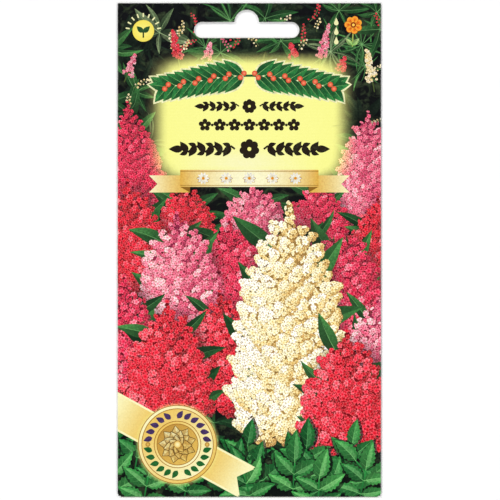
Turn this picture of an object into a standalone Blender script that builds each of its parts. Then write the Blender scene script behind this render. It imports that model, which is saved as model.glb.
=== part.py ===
# A flat paper seed packet that lies on its back. One printed blank is folded and glued
# into an envelope, with a euro slot punched through its header, and its pocket holds an
# inner sachet of fine seed.
#
# Metres, +Z up. X runs across the packet and +Y towards its header. The origin is the
# middle of the back panel's outer face, on the surface that the packet lies on.

import math
import random

import bmesh
import bpy
from mathutils import Matrix, Vector

# The envelope
PACKET_WIDTH = 0.080
PACKET_HEIGHT = 0.150
PAPER = 0.00015
FLAP_WIDTH = 0.0085
FLAP_CHAMFER = 0.0045
CORNER_RELIEF = 0.001
GLUE_SPACE = 0.0002
FLAP_SPACE = 0.0001
PILLOW_RISE = 0.0011
PILLOW_FULL_FROM = -0.050
PILLOW_FULL_TO = -0.015
PILLOW_END = 0.046
BEND_STEPS = 6

# The euro slot
SLOT_WIDTH = 0.032
SLOT_HEIGHT = 0.0049
SLOT_TOP_MARGIN = 0.0057
SLOT_CROWN_RADIUS = 0.0037
SLOT_OFFSET = -0.0008
ARC_STEPS = 14
CUTTER_DEPTH = 0.003

# The glue
SIDE_GLUE_WIDTH = 0.005
SIDE_GLUE_LENGTH = 0.128
SIDE_GLUE_THICKNESS = 0.00008
HEADER_GLUE_WIDTH = 0.060
HEADER_GLUE_HEIGHT = 0.008
HEADER_GLUE_THICKNESS = 0.00025
HEADER_GLUE_Y = 0.054

# The inner sachet
SACHET_WIDTH = 0.046
SACHET_HEIGHT = 0.058
SACHET_FOOT = -0.067
SACHET_TURN = math.radians(2.5)
FILM = 0.00008
SEAL_WIDTH = 0.005
SEAL_SPACE = 0.00005
SACHET_RISE = 0.00085
SACHET_SEAT = 0.0001

# The seed
SEED_COUNT = 110
SEED_LENGTH = 0.0012
SEED_WIDTH = 0.00036
SEED_SIDES = 5
HEAP_MIDDLE = -0.051
HEAP_HALF_WIDTH = 0.0120
HEAP_HALF_HEIGHT = 0.0065
HEAP_CORE_THICKNESS = 0.00036
HEAP_CLEARANCE = 0.00006
SEED_RANDOM = 11

# Edges sharper than this show as edges
CRISP_FROM = math.radians(35)

# Levels of the folded layers, measured to the middle of each layer
BACK_LEVEL = PAPER / 2
FLAP_LEVEL = BACK_LEVEL + PAPER + GLUE_SPACE
FRONT_LEVEL = FLAP_LEVEL + PAPER + FLAP_SPACE
SIDE_BEND = (FRONT_LEVEL - FLAP_LEVEL) / 2
FOOT_BEND = (FRONT_LEVEL - BACK_LEVEL) / 2
SIDE_FOLD = PACKET_WIDTH / 2 - SIDE_BEND - PAPER / 2
FOOT_FOLD = FOOT_BEND + PAPER / 2 - PACKET_HEIGHT / 2
TOP_EDGE = PACKET_HEIGHT / 2
SACHET_BACK_LEVEL = PAPER + SACHET_SEAT + FILM / 2
SACHET_BEND = (SEAL_SPACE + FILM) / 2


def clear_scene():
    for obj in list(bpy.data.objects):
        bpy.data.objects.remove(obj, do_unlink=True)


def material(name, colour, roughness):
    made = bpy.data.materials.new(name)
    made.use_nodes = True
    shader = made.node_tree.nodes["Principled BSDF"]
    shader.inputs["Base Color"].default_value = (*colour, 1.0)
    shader.inputs["Roughness"].default_value = roughness
    shader.inputs["Metallic"].default_value = 0.0
    return made


def object_of(name, bm, finish):
    mesh = bpy.data.meshes.new(name)
    bm.to_mesh(mesh)
    bm.free()
    mesh.materials.append(finish)
    obj = bpy.data.objects.new(name, mesh)
    bpy.context.scene.collection.objects.link(obj)
    return obj


# Smooth over the curved faces, with the paper's and film's edges left crisp
def shade(mesh):
    mesh.shade_smooth()
    mesh.set_sharp_from_angle(angle=CRISP_FROM)


def steps(start, end, count):
    return [start + (end - start) * i / count for i in range(count + 1)]


def smooth(start, end, value):
    share = min(max((value - start) / (end - start), 0.0), 1.0)
    return share * share * (3 - 2 * share)


# Past the start of a half turn, a sheet runs out and down round the bend, then back
def rolled(distance, bend):
    angle = min(distance / bend, math.pi)
    straight = max(distance - math.pi * bend, 0.0)
    return bend * math.sin(angle) - straight, bend * (1 - math.cos(angle))


# How far the pocket's contents lift the front panel
def pillow(x, y):
    across = math.cos(math.pi / 2 * min(abs(x) / SIDE_FOLD, 1.0)) ** 2
    along = smooth(FOOT_FOLD, PILLOW_FULL_FROM, y) * (1 - smooth(PILLOW_FULL_TO, PILLOW_END, y))
    return PILLOW_RISE * across * along


# Where a point (u, v) of the flat blank goes when the blank is folded
def folded_blank(u, v):
    if v < FOOT_FOLD:
        out, down = rolled(FOOT_FOLD - v, FOOT_BEND)
        return Vector((u, FOOT_FOLD - out, FRONT_LEVEL - down))
    if abs(u) > SIDE_FOLD:
        out, down = rolled(abs(u) - SIDE_FOLD, SIDE_BEND)
        return Vector((math.copysign(SIDE_FOLD + out, u), v, FRONT_LEVEL - down))
    return Vector((u, v, FRONT_LEVEL + pillow(u, v)))


# How far the sachet's front film stands off its back film, inside the sealed border
def belly(x, y):
    half_width = SACHET_WIDTH / 2 - SEAL_WIDTH
    half_height = (SACHET_HEIGHT - SEAL_WIDTH) / 2
    across = max(1 - (x / half_width) ** 4, 0.0)
    along = max(1 - ((y - SACHET_FOOT - half_height) / half_height) ** 4, 0.0)
    return SACHET_RISE * across * along


# Where a point (u, v) of the flat web goes when it is folded up at the sachet's foot
def folded_web(u, v):
    front = SACHET_BACK_LEVEL + 2 * SACHET_BEND
    if v < SACHET_FOOT:
        out, down = rolled(SACHET_FOOT - v, SACHET_BEND)
        return Vector((u, SACHET_FOOT - out, front - down))
    return Vector((u, v, front + belly(u, v)))


# A patch of quads over a grid of the flat sheet, joined to the patches already there
def lay_patch(bm, corners, across, along, fold, taper=None):
    def corner(u, v):
        if taper:
            v = taper(u, v)
        key = (round(u * 1e7), round(v * 1e7))
        if key not in corners:
            corners[key] = bm.verts.new(fold(u, v))
        return corners[key]

    for left, right in zip(across, across[1:]):
        for low, high in zip(along, along[1:]):
            bm.faces.new((corner(left, low), corner(right, low), corner(right, high), corner(left, high)))


# Splits the quads alike before the sheet gets its thickness, so its faces never cross
def thicken(obj, thickness):
    split = obj.modifiers.new("Split quads", "TRIANGULATE")
    split.quad_method = "FIXED"
    sheet = obj.modifiers.new("Sheet thickness", "SOLIDIFY")
    sheet.thickness = thickness
    sheet.offset = 0.0
    sheet.use_even_offset = True


def blank_mesh():
    bm = bmesh.new()
    corners = {}
    hinge_half = PACKET_WIDTH / 2 - CORNER_RELIEF
    flap_low = CORNER_RELIEF - PACKET_HEIGHT / 2
    bend_length = math.pi * SIDE_BEND
    flap_end = SIDE_FOLD + bend_length + FLAP_WIDTH
    panel = [-SIDE_FOLD, *steps(-hinge_half, hinge_half, 22), SIDE_FOLD]
    rows = steps(flap_low, TOP_EDGE, 36)
    lay_patch(bm, corners, panel, [FOOT_FOLD, *rows], folded_blank)

    def chamfered(u, v):
        share = max(abs(u) - SIDE_FOLD - bend_length, 0.0) / FLAP_WIDTH
        middle = (flap_low + TOP_EDGE) / 2
        return middle + (v - middle) * (1 - share * FLAP_CHAMFER / (TOP_EDGE - middle))

    bend = steps(SIDE_FOLD, SIDE_FOLD + bend_length, BEND_STEPS)
    flap = [*bend, SIDE_FOLD + bend_length + FLAP_WIDTH / 2, flap_end]
    lay_patch(bm, corners, flap, rows, folded_blank, chamfered)
    lay_patch(bm, corners, [-u for u in reversed(flap)], rows, folded_blank, chamfered)

    foot_length = math.pi * FOOT_BEND
    roll = steps(FOOT_FOLD - foot_length, FOOT_FOLD, BEND_STEPS)
    back_top = FOOT_FOLD - foot_length - (TOP_EDGE - FOOT_FOLD)
    back = [*steps(back_top, FOOT_FOLD - foot_length, 4), *roll[1:]]
    lay_patch(bm, corners, panel[1:-1], back, folded_blank)
    return bm


def arc(x, y, radius, start, end):
    angles = steps(math.radians(start), math.radians(end), ARC_STEPS)
    return [(x + radius * math.cos(a), y + radius * math.sin(a)) for a in angles]


# A bar with round ends and a half-round crown over its middle
def slot_outline():
    top = TOP_EDGE - SLOT_TOP_MARGIN
    end = SLOT_HEIGHT / 2
    reach = SLOT_WIDTH / 2 - end
    return [
        *arc(SLOT_OFFSET + reach, top - end, end, -90, 90),
        *arc(SLOT_OFFSET, top, SLOT_CROWN_RADIUS, 0, 180),
        *arc(SLOT_OFFSET - reach, top - end, end, 90, 270),
    ]


def prism(outline, low, high):
    bm = bmesh.new()
    face = bm.faces.new([bm.verts.new((x, y, low)) for x, y in outline])
    raised = bmesh.ops.extrude_face_region(bm, geom=[face])["geom"]
    moved = [item for item in raised if isinstance(item, bmesh.types.BMVert)]
    bmesh.ops.translate(bm, verts=moved, vec=(0, 0, high - low))
    bmesh.ops.recalc_face_normals(bm, faces=bm.faces)
    return bm


def envelope():
    finish = material("printed paper", (0.62, 0.16, 0.14), 0.35)
    obj = object_of("envelope", blank_mesh(), finish)
    thicken(obj, PAPER)
    cutter = object_of("slot_cutter", prism(slot_outline(), -CUTTER_DEPTH, CUTTER_DEPTH), finish)
    cutter.hide_render = True
    cutter.display_type = "WIRE"
    punch = obj.modifiers.new("Euro slot", "BOOLEAN")
    punch.operation = "DIFFERENCE"
    punch.object = cutter
    shade(obj.data)


# A flat bead of glue with round ends, longer along X or along Y
def glue_strip(name, middle, width, height, low, thickness, finish):
    radius = min(width, height) / 2
    x, y = middle
    across = width / 2 - radius
    along = height / 2 - radius
    outline = [
        *arc(x + across, y + along, radius, 0, 90),
        *arc(x - across, y + along, radius, 90, 180),
        *arc(x - across, y - along, radius, 180, 270),
        *arc(x + across, y - along, radius, 270, 360),
    ]
    bm = prism(outline, low, low + thickness)
    bmesh.ops.remove_doubles(bm, verts=bm.verts, dist=1e-6)
    object_of(name, bm, finish)


def glue():
    finish = material("hot-melt glue", (0.78, 0.66, 0.38), 0.45)
    side_low = PAPER + (GLUE_SPACE - SIDE_GLUE_THICKNESS) / 2
    side_x = SIDE_FOLD - FLAP_WIDTH / 2
    for name, side in (("side_glue_left", -1), ("side_glue_right", 1)):
        middle = (side * side_x, 0.0)
        glue_strip(name, middle, SIDE_GLUE_WIDTH, SIDE_GLUE_LENGTH, side_low, SIDE_GLUE_THICKNESS, finish)
    space = FRONT_LEVEL - PAPER / 2 - PAPER
    header_low = PAPER + (space - HEADER_GLUE_THICKNESS) / 2
    glue_strip(
        "header_glue", (0.0, HEADER_GLUE_Y), HEADER_GLUE_WIDTH, HEADER_GLUE_HEIGHT,
        header_low, HEADER_GLUE_THICKNESS, finish,
    )


def sachet(place):
    bm = bmesh.new()
    corners = {}
    inner = SACHET_WIDTH / 2 - SEAL_WIDTH
    across = [-SACHET_WIDTH / 2, *steps(-inner, inner, 12), SACHET_WIDTH / 2]
    top = SACHET_FOOT + SACHET_HEIGHT
    front = [*steps(SACHET_FOOT, top - SEAL_WIDTH, 14), top]
    roll_end = SACHET_FOOT - math.pi * SACHET_BEND
    back = [roll_end - SACHET_HEIGHT, *steps(roll_end, SACHET_FOOT, BEND_STEPS)]
    lay_patch(bm, corners, across, front, folded_web)
    lay_patch(bm, corners, across, back, folded_web)
    obj = object_of("inner_sachet", bm, material("glassine film", (0.86, 0.84, 0.76), 0.3))
    thicken(obj, FILM)
    shade(obj.data)
    obj.parent = place


# A seed is a slim spindle: a belt of sides between two pointed ends
def seed_shape(bm, at, turn, tilt):
    frame = Matrix.Translation(at) @ Matrix.Rotation(turn, 4, "Z") @ Matrix.Rotation(tilt, 4, "Y")
    tips = [bm.verts.new(frame @ Vector((side * SEED_LENGTH / 2, 0, 0))) for side in (-1, 1)]
    belts = []
    for x in (-SEED_LENGTH / 6, SEED_LENGTH / 6):
        angles = [2 * math.pi * i / SEED_SIDES for i in range(SEED_SIDES)]
        ring = [(x, SEED_WIDTH / 2 * math.cos(a), SEED_WIDTH / 2 * math.sin(a)) for a in angles]
        belts.append([bm.verts.new(frame @ Vector(point)) for point in ring])
    for i in range(SEED_SIDES):
        j = (i + 1) % SEED_SIDES
        bm.faces.new((belts[0][i], belts[1][i], belts[1][j], belts[0][j]))
        bm.faces.new((tips[0], belts[0][i], belts[0][j]))
        bm.faces.new((tips[1], belts[1][j], belts[1][i]))
    bmesh.ops.recalc_face_normals(bm, faces=bm.faces)


# The heap is thin seed on a thinner core, in the foot of the sachet
def seeds(place):
    finish = material("seed husk", (0.24, 0.13, 0.06), 0.6)
    floor = SACHET_BACK_LEVEL + FILM / 2 + HEAP_CLEARANCE
    core_middle = floor + HEAP_CORE_THICKNESS / 2 + SEED_WIDTH / 4
    bm = bmesh.new()
    shape = Matrix.Diagonal((HEAP_HALF_WIDTH, HEAP_HALF_HEIGHT, HEAP_CORE_THICKNESS / 2, 1))
    bmesh.ops.create_uvsphere(
        bm, u_segments=20, v_segments=8, radius=1.0,
        matrix=Matrix.Translation((0, HEAP_MIDDLE, core_middle)) @ shape,
    )
    core = object_of("seeds", bm, finish)
    loose = bpy.data.collections.new("loose seed")
    bpy.context.scene.collection.children.link(loose)
    draw = random.Random(SEED_RANDOM)
    turn_step = math.pi * (3 - math.sqrt(5))
    for i in range(SEED_COUNT):
        reach = math.sqrt((i + 0.5) / SEED_COUNT)
        angle = i * turn_step
        rise = HEAP_CORE_THICKNESS / 2 * math.sqrt(1 - reach * reach) * draw.uniform(0.6, 1.0)
        x = HEAP_HALF_WIDTH * reach * math.cos(angle)
        y = HEAP_MIDDLE + HEAP_HALF_HEIGHT * reach * math.sin(angle)
        one = bmesh.new()
        tilt = draw.uniform(-0.10, 0.10)
        seed_shape(one, (x, y, core_middle + rise), draw.uniform(0, math.pi), tilt)
        obj = object_of(f"seed_{i}", one, finish)
        bpy.context.scene.collection.objects.unlink(obj)
        loose.objects.link(obj)
    join_all(core, loose)
    core.parent = place


# One union of everything in the collection, applied, after which its objects go
def join_all(core, loose):
    union = core.modifiers.new("Fuse the heap", "BOOLEAN")
    union.operation = "UNION"
    union.operand_type = "COLLECTION"
    union.collection = loose
    bpy.context.view_layer.update()
    graph = bpy.context.evaluated_depsgraph_get()
    fused = bpy.data.meshes.new_from_object(core.evaluated_get(graph))
    core.modifiers.clear()
    core.data = fused
    shade(core.data)
    for obj in list(loose.objects):
        bpy.data.objects.remove(obj, do_unlink=True)
    bpy.data.collections.remove(loose)


def contents():
    place = bpy.data.objects.new("sachet_place", None)
    place.rotation_euler.z = SACHET_TURN
    bpy.context.scene.collection.objects.link(place)
    sachet(place)
    seeds(place)


clear_scene()
envelope()
glue()
contents()
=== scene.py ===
# A flat printed seed packet. Its print is laid out as flat shapes on the unfolded blank, in
# millimetres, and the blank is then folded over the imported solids.
import math
import random

import bpy
import numpy as np
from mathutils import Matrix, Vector
from mathutils.geometry import delaunay_2d_cdt


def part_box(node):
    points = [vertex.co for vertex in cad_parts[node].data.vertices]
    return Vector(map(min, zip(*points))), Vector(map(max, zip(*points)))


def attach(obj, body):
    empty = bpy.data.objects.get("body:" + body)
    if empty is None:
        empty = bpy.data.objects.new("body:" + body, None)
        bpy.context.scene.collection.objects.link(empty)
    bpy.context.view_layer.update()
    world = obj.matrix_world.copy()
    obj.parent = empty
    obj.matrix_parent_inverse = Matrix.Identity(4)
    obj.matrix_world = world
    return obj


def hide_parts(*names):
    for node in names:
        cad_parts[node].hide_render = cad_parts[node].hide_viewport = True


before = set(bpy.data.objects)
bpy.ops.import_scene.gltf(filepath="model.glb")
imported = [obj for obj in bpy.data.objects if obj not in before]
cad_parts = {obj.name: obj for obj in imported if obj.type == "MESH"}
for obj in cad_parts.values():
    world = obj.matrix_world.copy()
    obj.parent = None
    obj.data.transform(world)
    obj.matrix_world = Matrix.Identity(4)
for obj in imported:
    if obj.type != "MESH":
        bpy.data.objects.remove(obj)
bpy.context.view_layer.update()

mm = 0.001
fullTurn = 2 * math.pi
goldenShare = (math.sqrt(5) - 1) / 2
print("frame loaded:", sorted(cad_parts))


# The folded sheet, in millimetres
paper = {
    "thickness": 0.15,
    "glueSpace": 0.2,  # between the back panel and the side flaps
    "flapSpace": 0.1,  # between the side flaps and the front
    "flapWidth": 8.5,
    "flapChamfer": 4.5,
    "cornerRelief": 1.0,  # how far the back panel and the flaps stop short of the corners
    "bendRows": 6,
    "pillowRise": 1.1,  # how far the contents lift the front
    "pillowFull": (-50, -15),  # from here to here along the packet
    "pillowEnd": 46,
    "ripple": 0.05,  # slow waves in the lifted paper
    "waves": ((0.19, 1.3), (0.13, 0.4)),  # across and along
    "flapMark": 0.025,  # the inner edges of the side flaps show through the front
    "flapMarkWidth": 0.5,
    "flapMarkEnds": (-68, -62, 64, 70),
    "sachetMark": 0.05,  # so does the sachet
    "sachet": (0.8, -38, 22.5, 28.5),  # its middle and half its size
    "sachetEdge": 0.8,
    "heapMark": 0.14,  # and the heap of seed in its foot
    "heap": (2, -51, 11, 6),
    "gridStep": 2.0,
    "insideStep": 6.0,
}

low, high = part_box("envelope")
halfWidth = round((high.x - low.x) / mm) / 2
halfHeight = round((high.y - low.y) / mm) / 2
backLevel = paper["thickness"] / 2
flapLevel = backLevel + paper["thickness"] + paper["glueSpace"]
frontLevel = flapLevel + paper["thickness"] + paper["flapSpace"]
sideBend = (frontLevel - flapLevel) / 2
footBend = (frontLevel - backLevel) / 2
sideFold = halfWidth - sideBend - backLevel
footFold = footBend + backLevel - halfHeight
backStart = footFold - math.pi * footBend  # where the back panel begins on the blank
backTop = backStart - (halfHeight - footFold)
bendEnd = sideFold + math.pi * sideBend
hingeHalf = halfWidth - paper["cornerRelief"]
flapLow = paper["cornerRelief"] - halfHeight


def steps(start, end, count):
    return [start + (end - start) * i / count for i in range(count + 1)]


def smooth(start, end, value):
    share = np.clip((value - start) / (end - start), 0, 1)
    return share * share * (3 - 2 * share)


def frontRelief(u, v):
    across = np.cos(math.pi / 2 * np.clip(np.abs(u) / sideFold, 0, 1)) ** 2
    along = smooth(footFold, paper["pillowFull"][0], v)
    along = along * (1 - smooth(paper["pillowFull"][1], paper["pillowEnd"], v))
    rise = paper["pillowRise"] * across * along
    (a, b), (c, d) = paper["waves"]
    rise = rise + paper["ripple"] * np.sin(a * u + b) * np.sin(c * v + d) * across * along
    flapEdge = bendEnd - math.pi * sideBend - paper["flapWidth"]
    a, b, c, d = paper["flapMarkEnds"]
    flapMark = np.exp(-((np.abs(u) - flapEdge) / paper["flapMarkWidth"]) ** 2)
    flapMark = flapMark * smooth(a, b, v) * (1 - smooth(c, d, v))
    x, y, halfX, halfY = paper["sachet"]
    past = np.maximum(np.abs(u - x) - halfX, np.abs(v - y) - halfY)
    sachetMark = 1 - smooth(-paper["sachetEdge"], paper["sachetEdge"], past)
    x, y, halfX, halfY = paper["heap"]
    heapMark = np.exp(-((u - x) / halfX) ** 2 - ((v - y) / halfY) ** 2)
    marks = paper["flapMark"] * flapMark + paper["sachetMark"] * sachetMark + paper["heapMark"] * heapMark
    return rise + marks * smooth(0, 1, along * 4) * (0.3 + 0.7 * across)


# The distance out and down that a sheet has gone, past the start of a half turn
def rolled(distance, bend):
    angle = np.clip(distance / bend, 0, math.pi)
    straight = np.maximum(distance - math.pi * bend, 0)
    return bend * np.sin(angle) - straight, bend * (1 - np.cos(angle)), angle


# Folds points of the blank. lift is the way from the middle of the paper to the printed face
def foldBlank(u, v, lift):
    tiny = 0.02
    slopeX = (frontRelief(u + tiny, v) - frontRelief(u - tiny, v)) / (2 * tiny)
    slopeY = (frontRelief(u, v + tiny) - frontRelief(u, v - tiny)) / (2 * tiny)
    place = np.stack([u, v, frontLevel + frontRelief(u, v)], 1)
    facing = np.stack([-slopeX, -slopeY, np.ones(len(u))], 1)
    facing /= np.linalg.norm(facing, axis=1)[:, None]

    side = np.abs(u) > sideFold
    out, down, angle = rolled(np.abs(u[side]) - sideFold, sideBend)
    way = np.sign(u[side])
    place[side] = np.stack([way * (sideFold + out), v[side], frontLevel - down], 1)
    facing[side] = np.stack([way * np.sin(angle), 0 * angle, np.cos(angle)], 1)

    foot = v < footFold
    out, down, angle = rolled(footFold - v[foot], footBend)
    place[foot] = np.stack([u[foot], footFold - out, frontLevel - down], 1)
    facing[foot] = np.stack([0 * angle, -np.sin(angle), np.cos(angle)], 1)
    return (place + facing * lift) * mm, facing


def colourOf(code):
    return tuple(int(code[i:i + 2], 16) / 255 for i in (1, 3, 5))


def coloursIn(codes):
    return [colourOf(code) for code in codes]


def coloursOf(piece, *names):
    return coloursIn(piece[name] for name in names)


def mixed(one, other, share):
    return tuple(a + (b - a) * share for a, b in zip(one, other))


# A colour between evenly spaced ones, from the darkest at 0 to the lightest at 1
def toned(tones, shade):
    place = min(max(shade, 0), 0.999) * (len(tones) - 1)
    return mixed(tones[int(place)], tones[int(place) + 1], place % 1)


def toLinear(values):
    return np.where(values <= 0.04045, values / 12.92, ((values + 0.055) / 1.055) ** 2.4)


# The print. Each shape covers what was laid before it. Its colour runs from colour to tone,
# and its edge can fade, by one of these measures of a point's place in the shape's own frame
measures = ["flat", "along", "round", "box"]
printed = {"outlines": [], "inks": [], "spots": []}
fadeAt, opacityAt, petalsAt, spinAt = 18, 20, 21, 22


def layShape(outline, colour, tone=None, ramp="flat", at=(0, 0), turn=0.0, size=(1, 1), fade=0.0,
             fadeBy="round", opacity=1.0, power=1.0, speck=0.0, mottle=0.0, petals=0, spin=0.0):
    tone = tone or colour
    area = sum(x0 * y1 - x1 * y0 for (x0, y0), (x1, y1) in zip(outline, outline[1:] + outline[:1]))
    printed["outlines"].append(outline if area > 0 else outline[::-1])
    printed["inks"].append((
        *at, math.cos(turn), math.sin(turn), *size, measures.index(ramp), power,
        *colour, speck, mottle, *tone, speck, mottle, fade, measures.index(fadeBy), opacity, petals, spin,
    ))


# Points inside the shape laid last, where its colour has to be read too
def laySpots(spots):
    owner = len(printed["inks"]) - 1
    printed["spots"] += [(x, y, owner) for x, y in spots]


def hidesAll(ink):
    return ink[fadeAt] == 0 and ink[opacityAt] == 1


def measured(kind, s, t):
    values = [0 * s, np.clip(s, 0, 1), np.hypot(s, t), (s ** 6 + t ** 6) ** (1 / 6)]
    return np.select([kind == number for number in range(len(values))], values)


# Places of points in the shapes' own frames
def framed(column, x, y):
    dx, dy = x - column[0], y - column[1]
    return (dx * column[2] + dy * column[3]) / column[4], (dy * column[2] - dx * column[3]) / column[5]


# Where points lie on a floret, turned by its spin, and how many petals it has
def petalAt(inks, x, y):
    column = inks.T[:, :, None]
    s, t = framed(column, x, y)
    c, d = np.cos(column[spinAt]), np.sin(column[spinAt])
    return np.stack([s * c + t * d, t * c - s * d, column[petalsAt] + 0 * s], 2)


# The colour and the cover of each shape at points inside it
def inkAt(inks, x, y):
    column = inks.T[:, :, None]
    s, t = framed(column, x, y)
    share = np.clip(measured(column[6], s, t), 0, 1) ** column[7]
    first = inks[:, None, 8:13]
    colour = first + (inks[:, None, 13:18] - first) * share[:, :, None]
    edge = measured(column[19], s, t)
    fade = column[fadeAt]
    cover = column[opacityAt] * (1 - smooth(1 - np.maximum(fade, 1e-6), 1.0, edge) * (fade > 0))
    return colour, cover


def placed(points, at, turn):
    c, s = math.cos(turn), math.sin(turn)
    return [(at[0] + x * c - y * s, at[1] + x * s + y * c) for x, y in points]


def moved(at, turn, reach):  # a place this far off in the direction turn
    return (at[0] + reach * math.cos(turn), at[1] + reach * math.sin(turn))


def ovalOf(half, sides, at=(0, 0), start=0.0):
    return [
        (at[0] + half[0] * math.cos(a), at[1] + half[1] * math.sin(a))
        for a in steps(start, start + fullTurn, sides)[:-1]
    ]


def ringOf(radius, sides, at=(0, 0), start=0.0):
    return ovalOf((radius, radius), sides, at, start)


def arcOf(radius, at, start, end, count):  # its angles in degrees
    return [moved(at, a, radius) for a in steps(math.radians(start), math.radians(end), count)]


def layDisc(at, radius, colour, tone=None, sides=16, **more):
    layShape(ringOf(radius, sides, at), colour, tone, at=at, size=(radius, radius), **more)
    laySpots([at])


def layBall(at, radius, middle, rim, sides=16):
    layDisc(at, radius, middle, rim, sides, ramp="round")


def layStroke(start, end, width, colour, tone=None, **more):
    x, y = end[0] - start[0], end[1] - start[1]
    length, turn = math.hypot(x, y), math.atan2(y, x)
    corners = [(0, -width / 2), (length, -width / 2), (length, width / 2), (0, width / 2)]
    layShape(placed(corners, start, turn), colour, tone, ramp="along", at=start, turn=turn,
             size=(length, width / 2), **more)


leaf = {
    "belly": 0.75,  # under 1, a leaf is widest nearer its stalk
    "speck": 0.3,
    "mottle": 0.2,
    "gleam": (0.85, 1.0, 0.72),
    "shade": (0.0, 0.05, 0.03),
}


# A leaf that may bend. Teeth lean towards its tip, veins run to its margin, one half lies in
# shade and the other can shine
def layLeaf(at, turn, length, width, colour, tone, bend=0.0, teeth=0, veins=0, vein=None,
            shade=0.0, shine=0.0, points=6, cover=1.0, dim=leaf["shade"]):
    def bent(x, y):
        if abs(bend) >= 0.01:
            radius = length / bend
            x, y = (radius - y) * math.sin(x / radius), radius - (radius - y) * math.cos(x / radius)
        return placed([(x, y)], at, turn)[0]

    def margin(s, side, grow=1.0):
        return (s * length, side * width / 2 * math.sin(math.pi * s ** leaf["belly"]) * grow)

    def lay(points, colour, **more):
        layShape([bent(x, y) for x, y in points], colour, **more)

    count = teeth or points
    rows = {}
    for side in (-1, 1):
        rows[side] = []
        for s in steps(0, 1, count)[1:-1]:
            if teeth:
                rows[side] += [margin(s - 0.15 / count, side, 0.82), margin(s + 0.3 / count, side, 1.05)]
            else:
                rows[side].append(margin(s, side))
    lay([(0, 0), *rows[-1], (length, 0), *rows[1][::-1]], colour, tone=tone, ramp="along", at=at, turn=turn,
        size=(length, width / 2), speck=leaf["speck"], mottle=leaf["mottle"], opacity=cover)
    if shade:
        lay([(0, 0), *[(x, 0) for x, y in rows[1]][1:-1:3], (length, 0), *rows[1][::-1]], dim, opacity=shade)
    if shine:
        inner = [(x, y * 0.55) for x, y in rows[-1][::-1]]
        lay([(length * 0.12, -0.02), (length * 0.85, -0.02), *inner], leaf["gleam"], opacity=shine)
    if vein:
        thick = 0.03 * length ** 0.5
        marks = steps(0, length, 3)
        under = [(x, -thick * (1 - x / length)) for x in marks[1:-1]]
        over = [(x, thick * (1 - x / length)) for x in marks[2:0:-1]]
        lay([(0, -thick), *under, (length * 0.95, 0), *over, (0, thick)], vein, opacity=0.85)
    for i in range(veins):
        s = 0.1 + 0.72 * i / veins
        for side in (-1, 1):
            end = margin(min(s + 0.17, 0.97), side, 0.84)
            lay([(s * length, 0), (s * length + 0.2, 0), end], vein, opacity=0.5)


def layPlainLeaf(at, turn, length, width, colour):
    layLeaf(at, turn, length, width, colour, colour)


flowers = {
    "petals": 5,
    "throat": 0.7,  # under 1, the deep colour of the throat is small
    "speck": 0.3,
    "light": (-0.45, 0.6, 0.66),
    "bunch": 0.25,  # size of a branch, as a share of the head's half width
    "branch": (1.65, 0.72),  # half its length and half its width, as shares of its size
    "tips": [(0.99, 0.45), (0.93, 0.6), (0.86, 0.75)],  # place and size of the branches at the tip
    "cover": 1.9,
    "taper": (0.62, 0.2),
    "tipNarrower": 0.35,  # how much narrower a branch is at its tip
    "florets": 6.2,  # how close together they stand on a branch
    "overlap": 0.72,  # florets within this share of another branch, squared, are left out
    "setBack": (0.05, 0.6),  # how far inside the head a branch's middle lies, as a share of its half length
    "accents": 0.12,  # share of the florets that stand clear of the others
    "branchTone": (0.72, 1.18),  # how dark and how light a whole branch can be
    "ambient": 0.3,
    "shade": 0.6,
    "shadeInk": (0.05, 0.0, 0.03),
    "shadeShift": (1.2, -1.0),
    "collar": 9,  # leaves that stand out from behind each head
    "reds": ["#3a050c", "#b50a1c", "#e81430", "#f9304a", "#ff8490"],
    "crimsons": ["#3c0618", "#bb0f38", "#ee2450", "#fc4f72", "#ffa0b0"],
    "pinks": ["#5a1230", "#cf3a62", "#f76f8e", "#ffa4b6", "#ffe6e8"],
    "creams": ["#6a4a20", "#d8ac5c", "#fbebaa", "#fffee0", "#ffffff"],
    # foot, tip, half width, floret radius, tones, nearness
    "back": [
        ((-34, 12), (-37, 44), 7.6, 0.8, "crimsons", 0.75),
        ((35, 8), (36, 41), 7.8, 0.8, "pinks", 0.78),
        ((-19, -2), (-20, 20), 7.8, 0.85, "reds", 0.8),
        ((2, 0), (1, 19), 8.2, 0.85, "pinks", 0.8),
        ((21, 0), (21, 20), 7.8, 0.85, "crimsons", 0.8),
    ],
    "middle": [
        ((-35, -14), (-37, 20), 9.6, 0.92, "reds", 0.9),
        ((39, -18), (39, 15), 9.2, 0.92, "reds", 0.92),
        ((-4, -22), (-6, 8), 9.6, 0.95, "crimsons", 0.9),
        ((-20, -26), (-22, 10), 10.8, 0.95, "pinks", 0.95),
        ((29, -30), (28, 6), 10.4, 0.95, "crimsons", 0.95),
        ((-38, -42), (-38, -9), 9.6, 1.0, "crimsons", 0.92),
    ],
    "front": [
        ((-7, -48), (-9, -14), 10.2, 1.05, "reds", 0.98),
        ((40, -52), (39, -16), 9.6, 1.05, "pinks", 0.98),
        ((-25, -52), (-25, -17), 11.0, 1.05, "reds", 1.0),
        ((12, -57), (12, 13), 14.6, 1.02, "creams", 1.1),
        ((29.5, -61), (29.5, -26), 11.4, 1.1, "reds", 1.0),
    ],
}


# A floret is a patch that the material draws petals on, squashed along tilt where it is seen
# from the side
def layFloret(at, radius, turn, tilt, squash, throat, petal, sides=7):
    outline = [(x * squash, y) for x, y in ringOf(radius * 1.04, sides, start=turn)]
    layShape(placed(outline, at, tilt), throat, petal, ramp="round", at=at, turn=tilt,
             size=(radius * squash, radius), power=flowers["throat"], speck=flowers["speck"],
             petals=flowers["petals"], spin=turn)
    laySpots([at])


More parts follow.
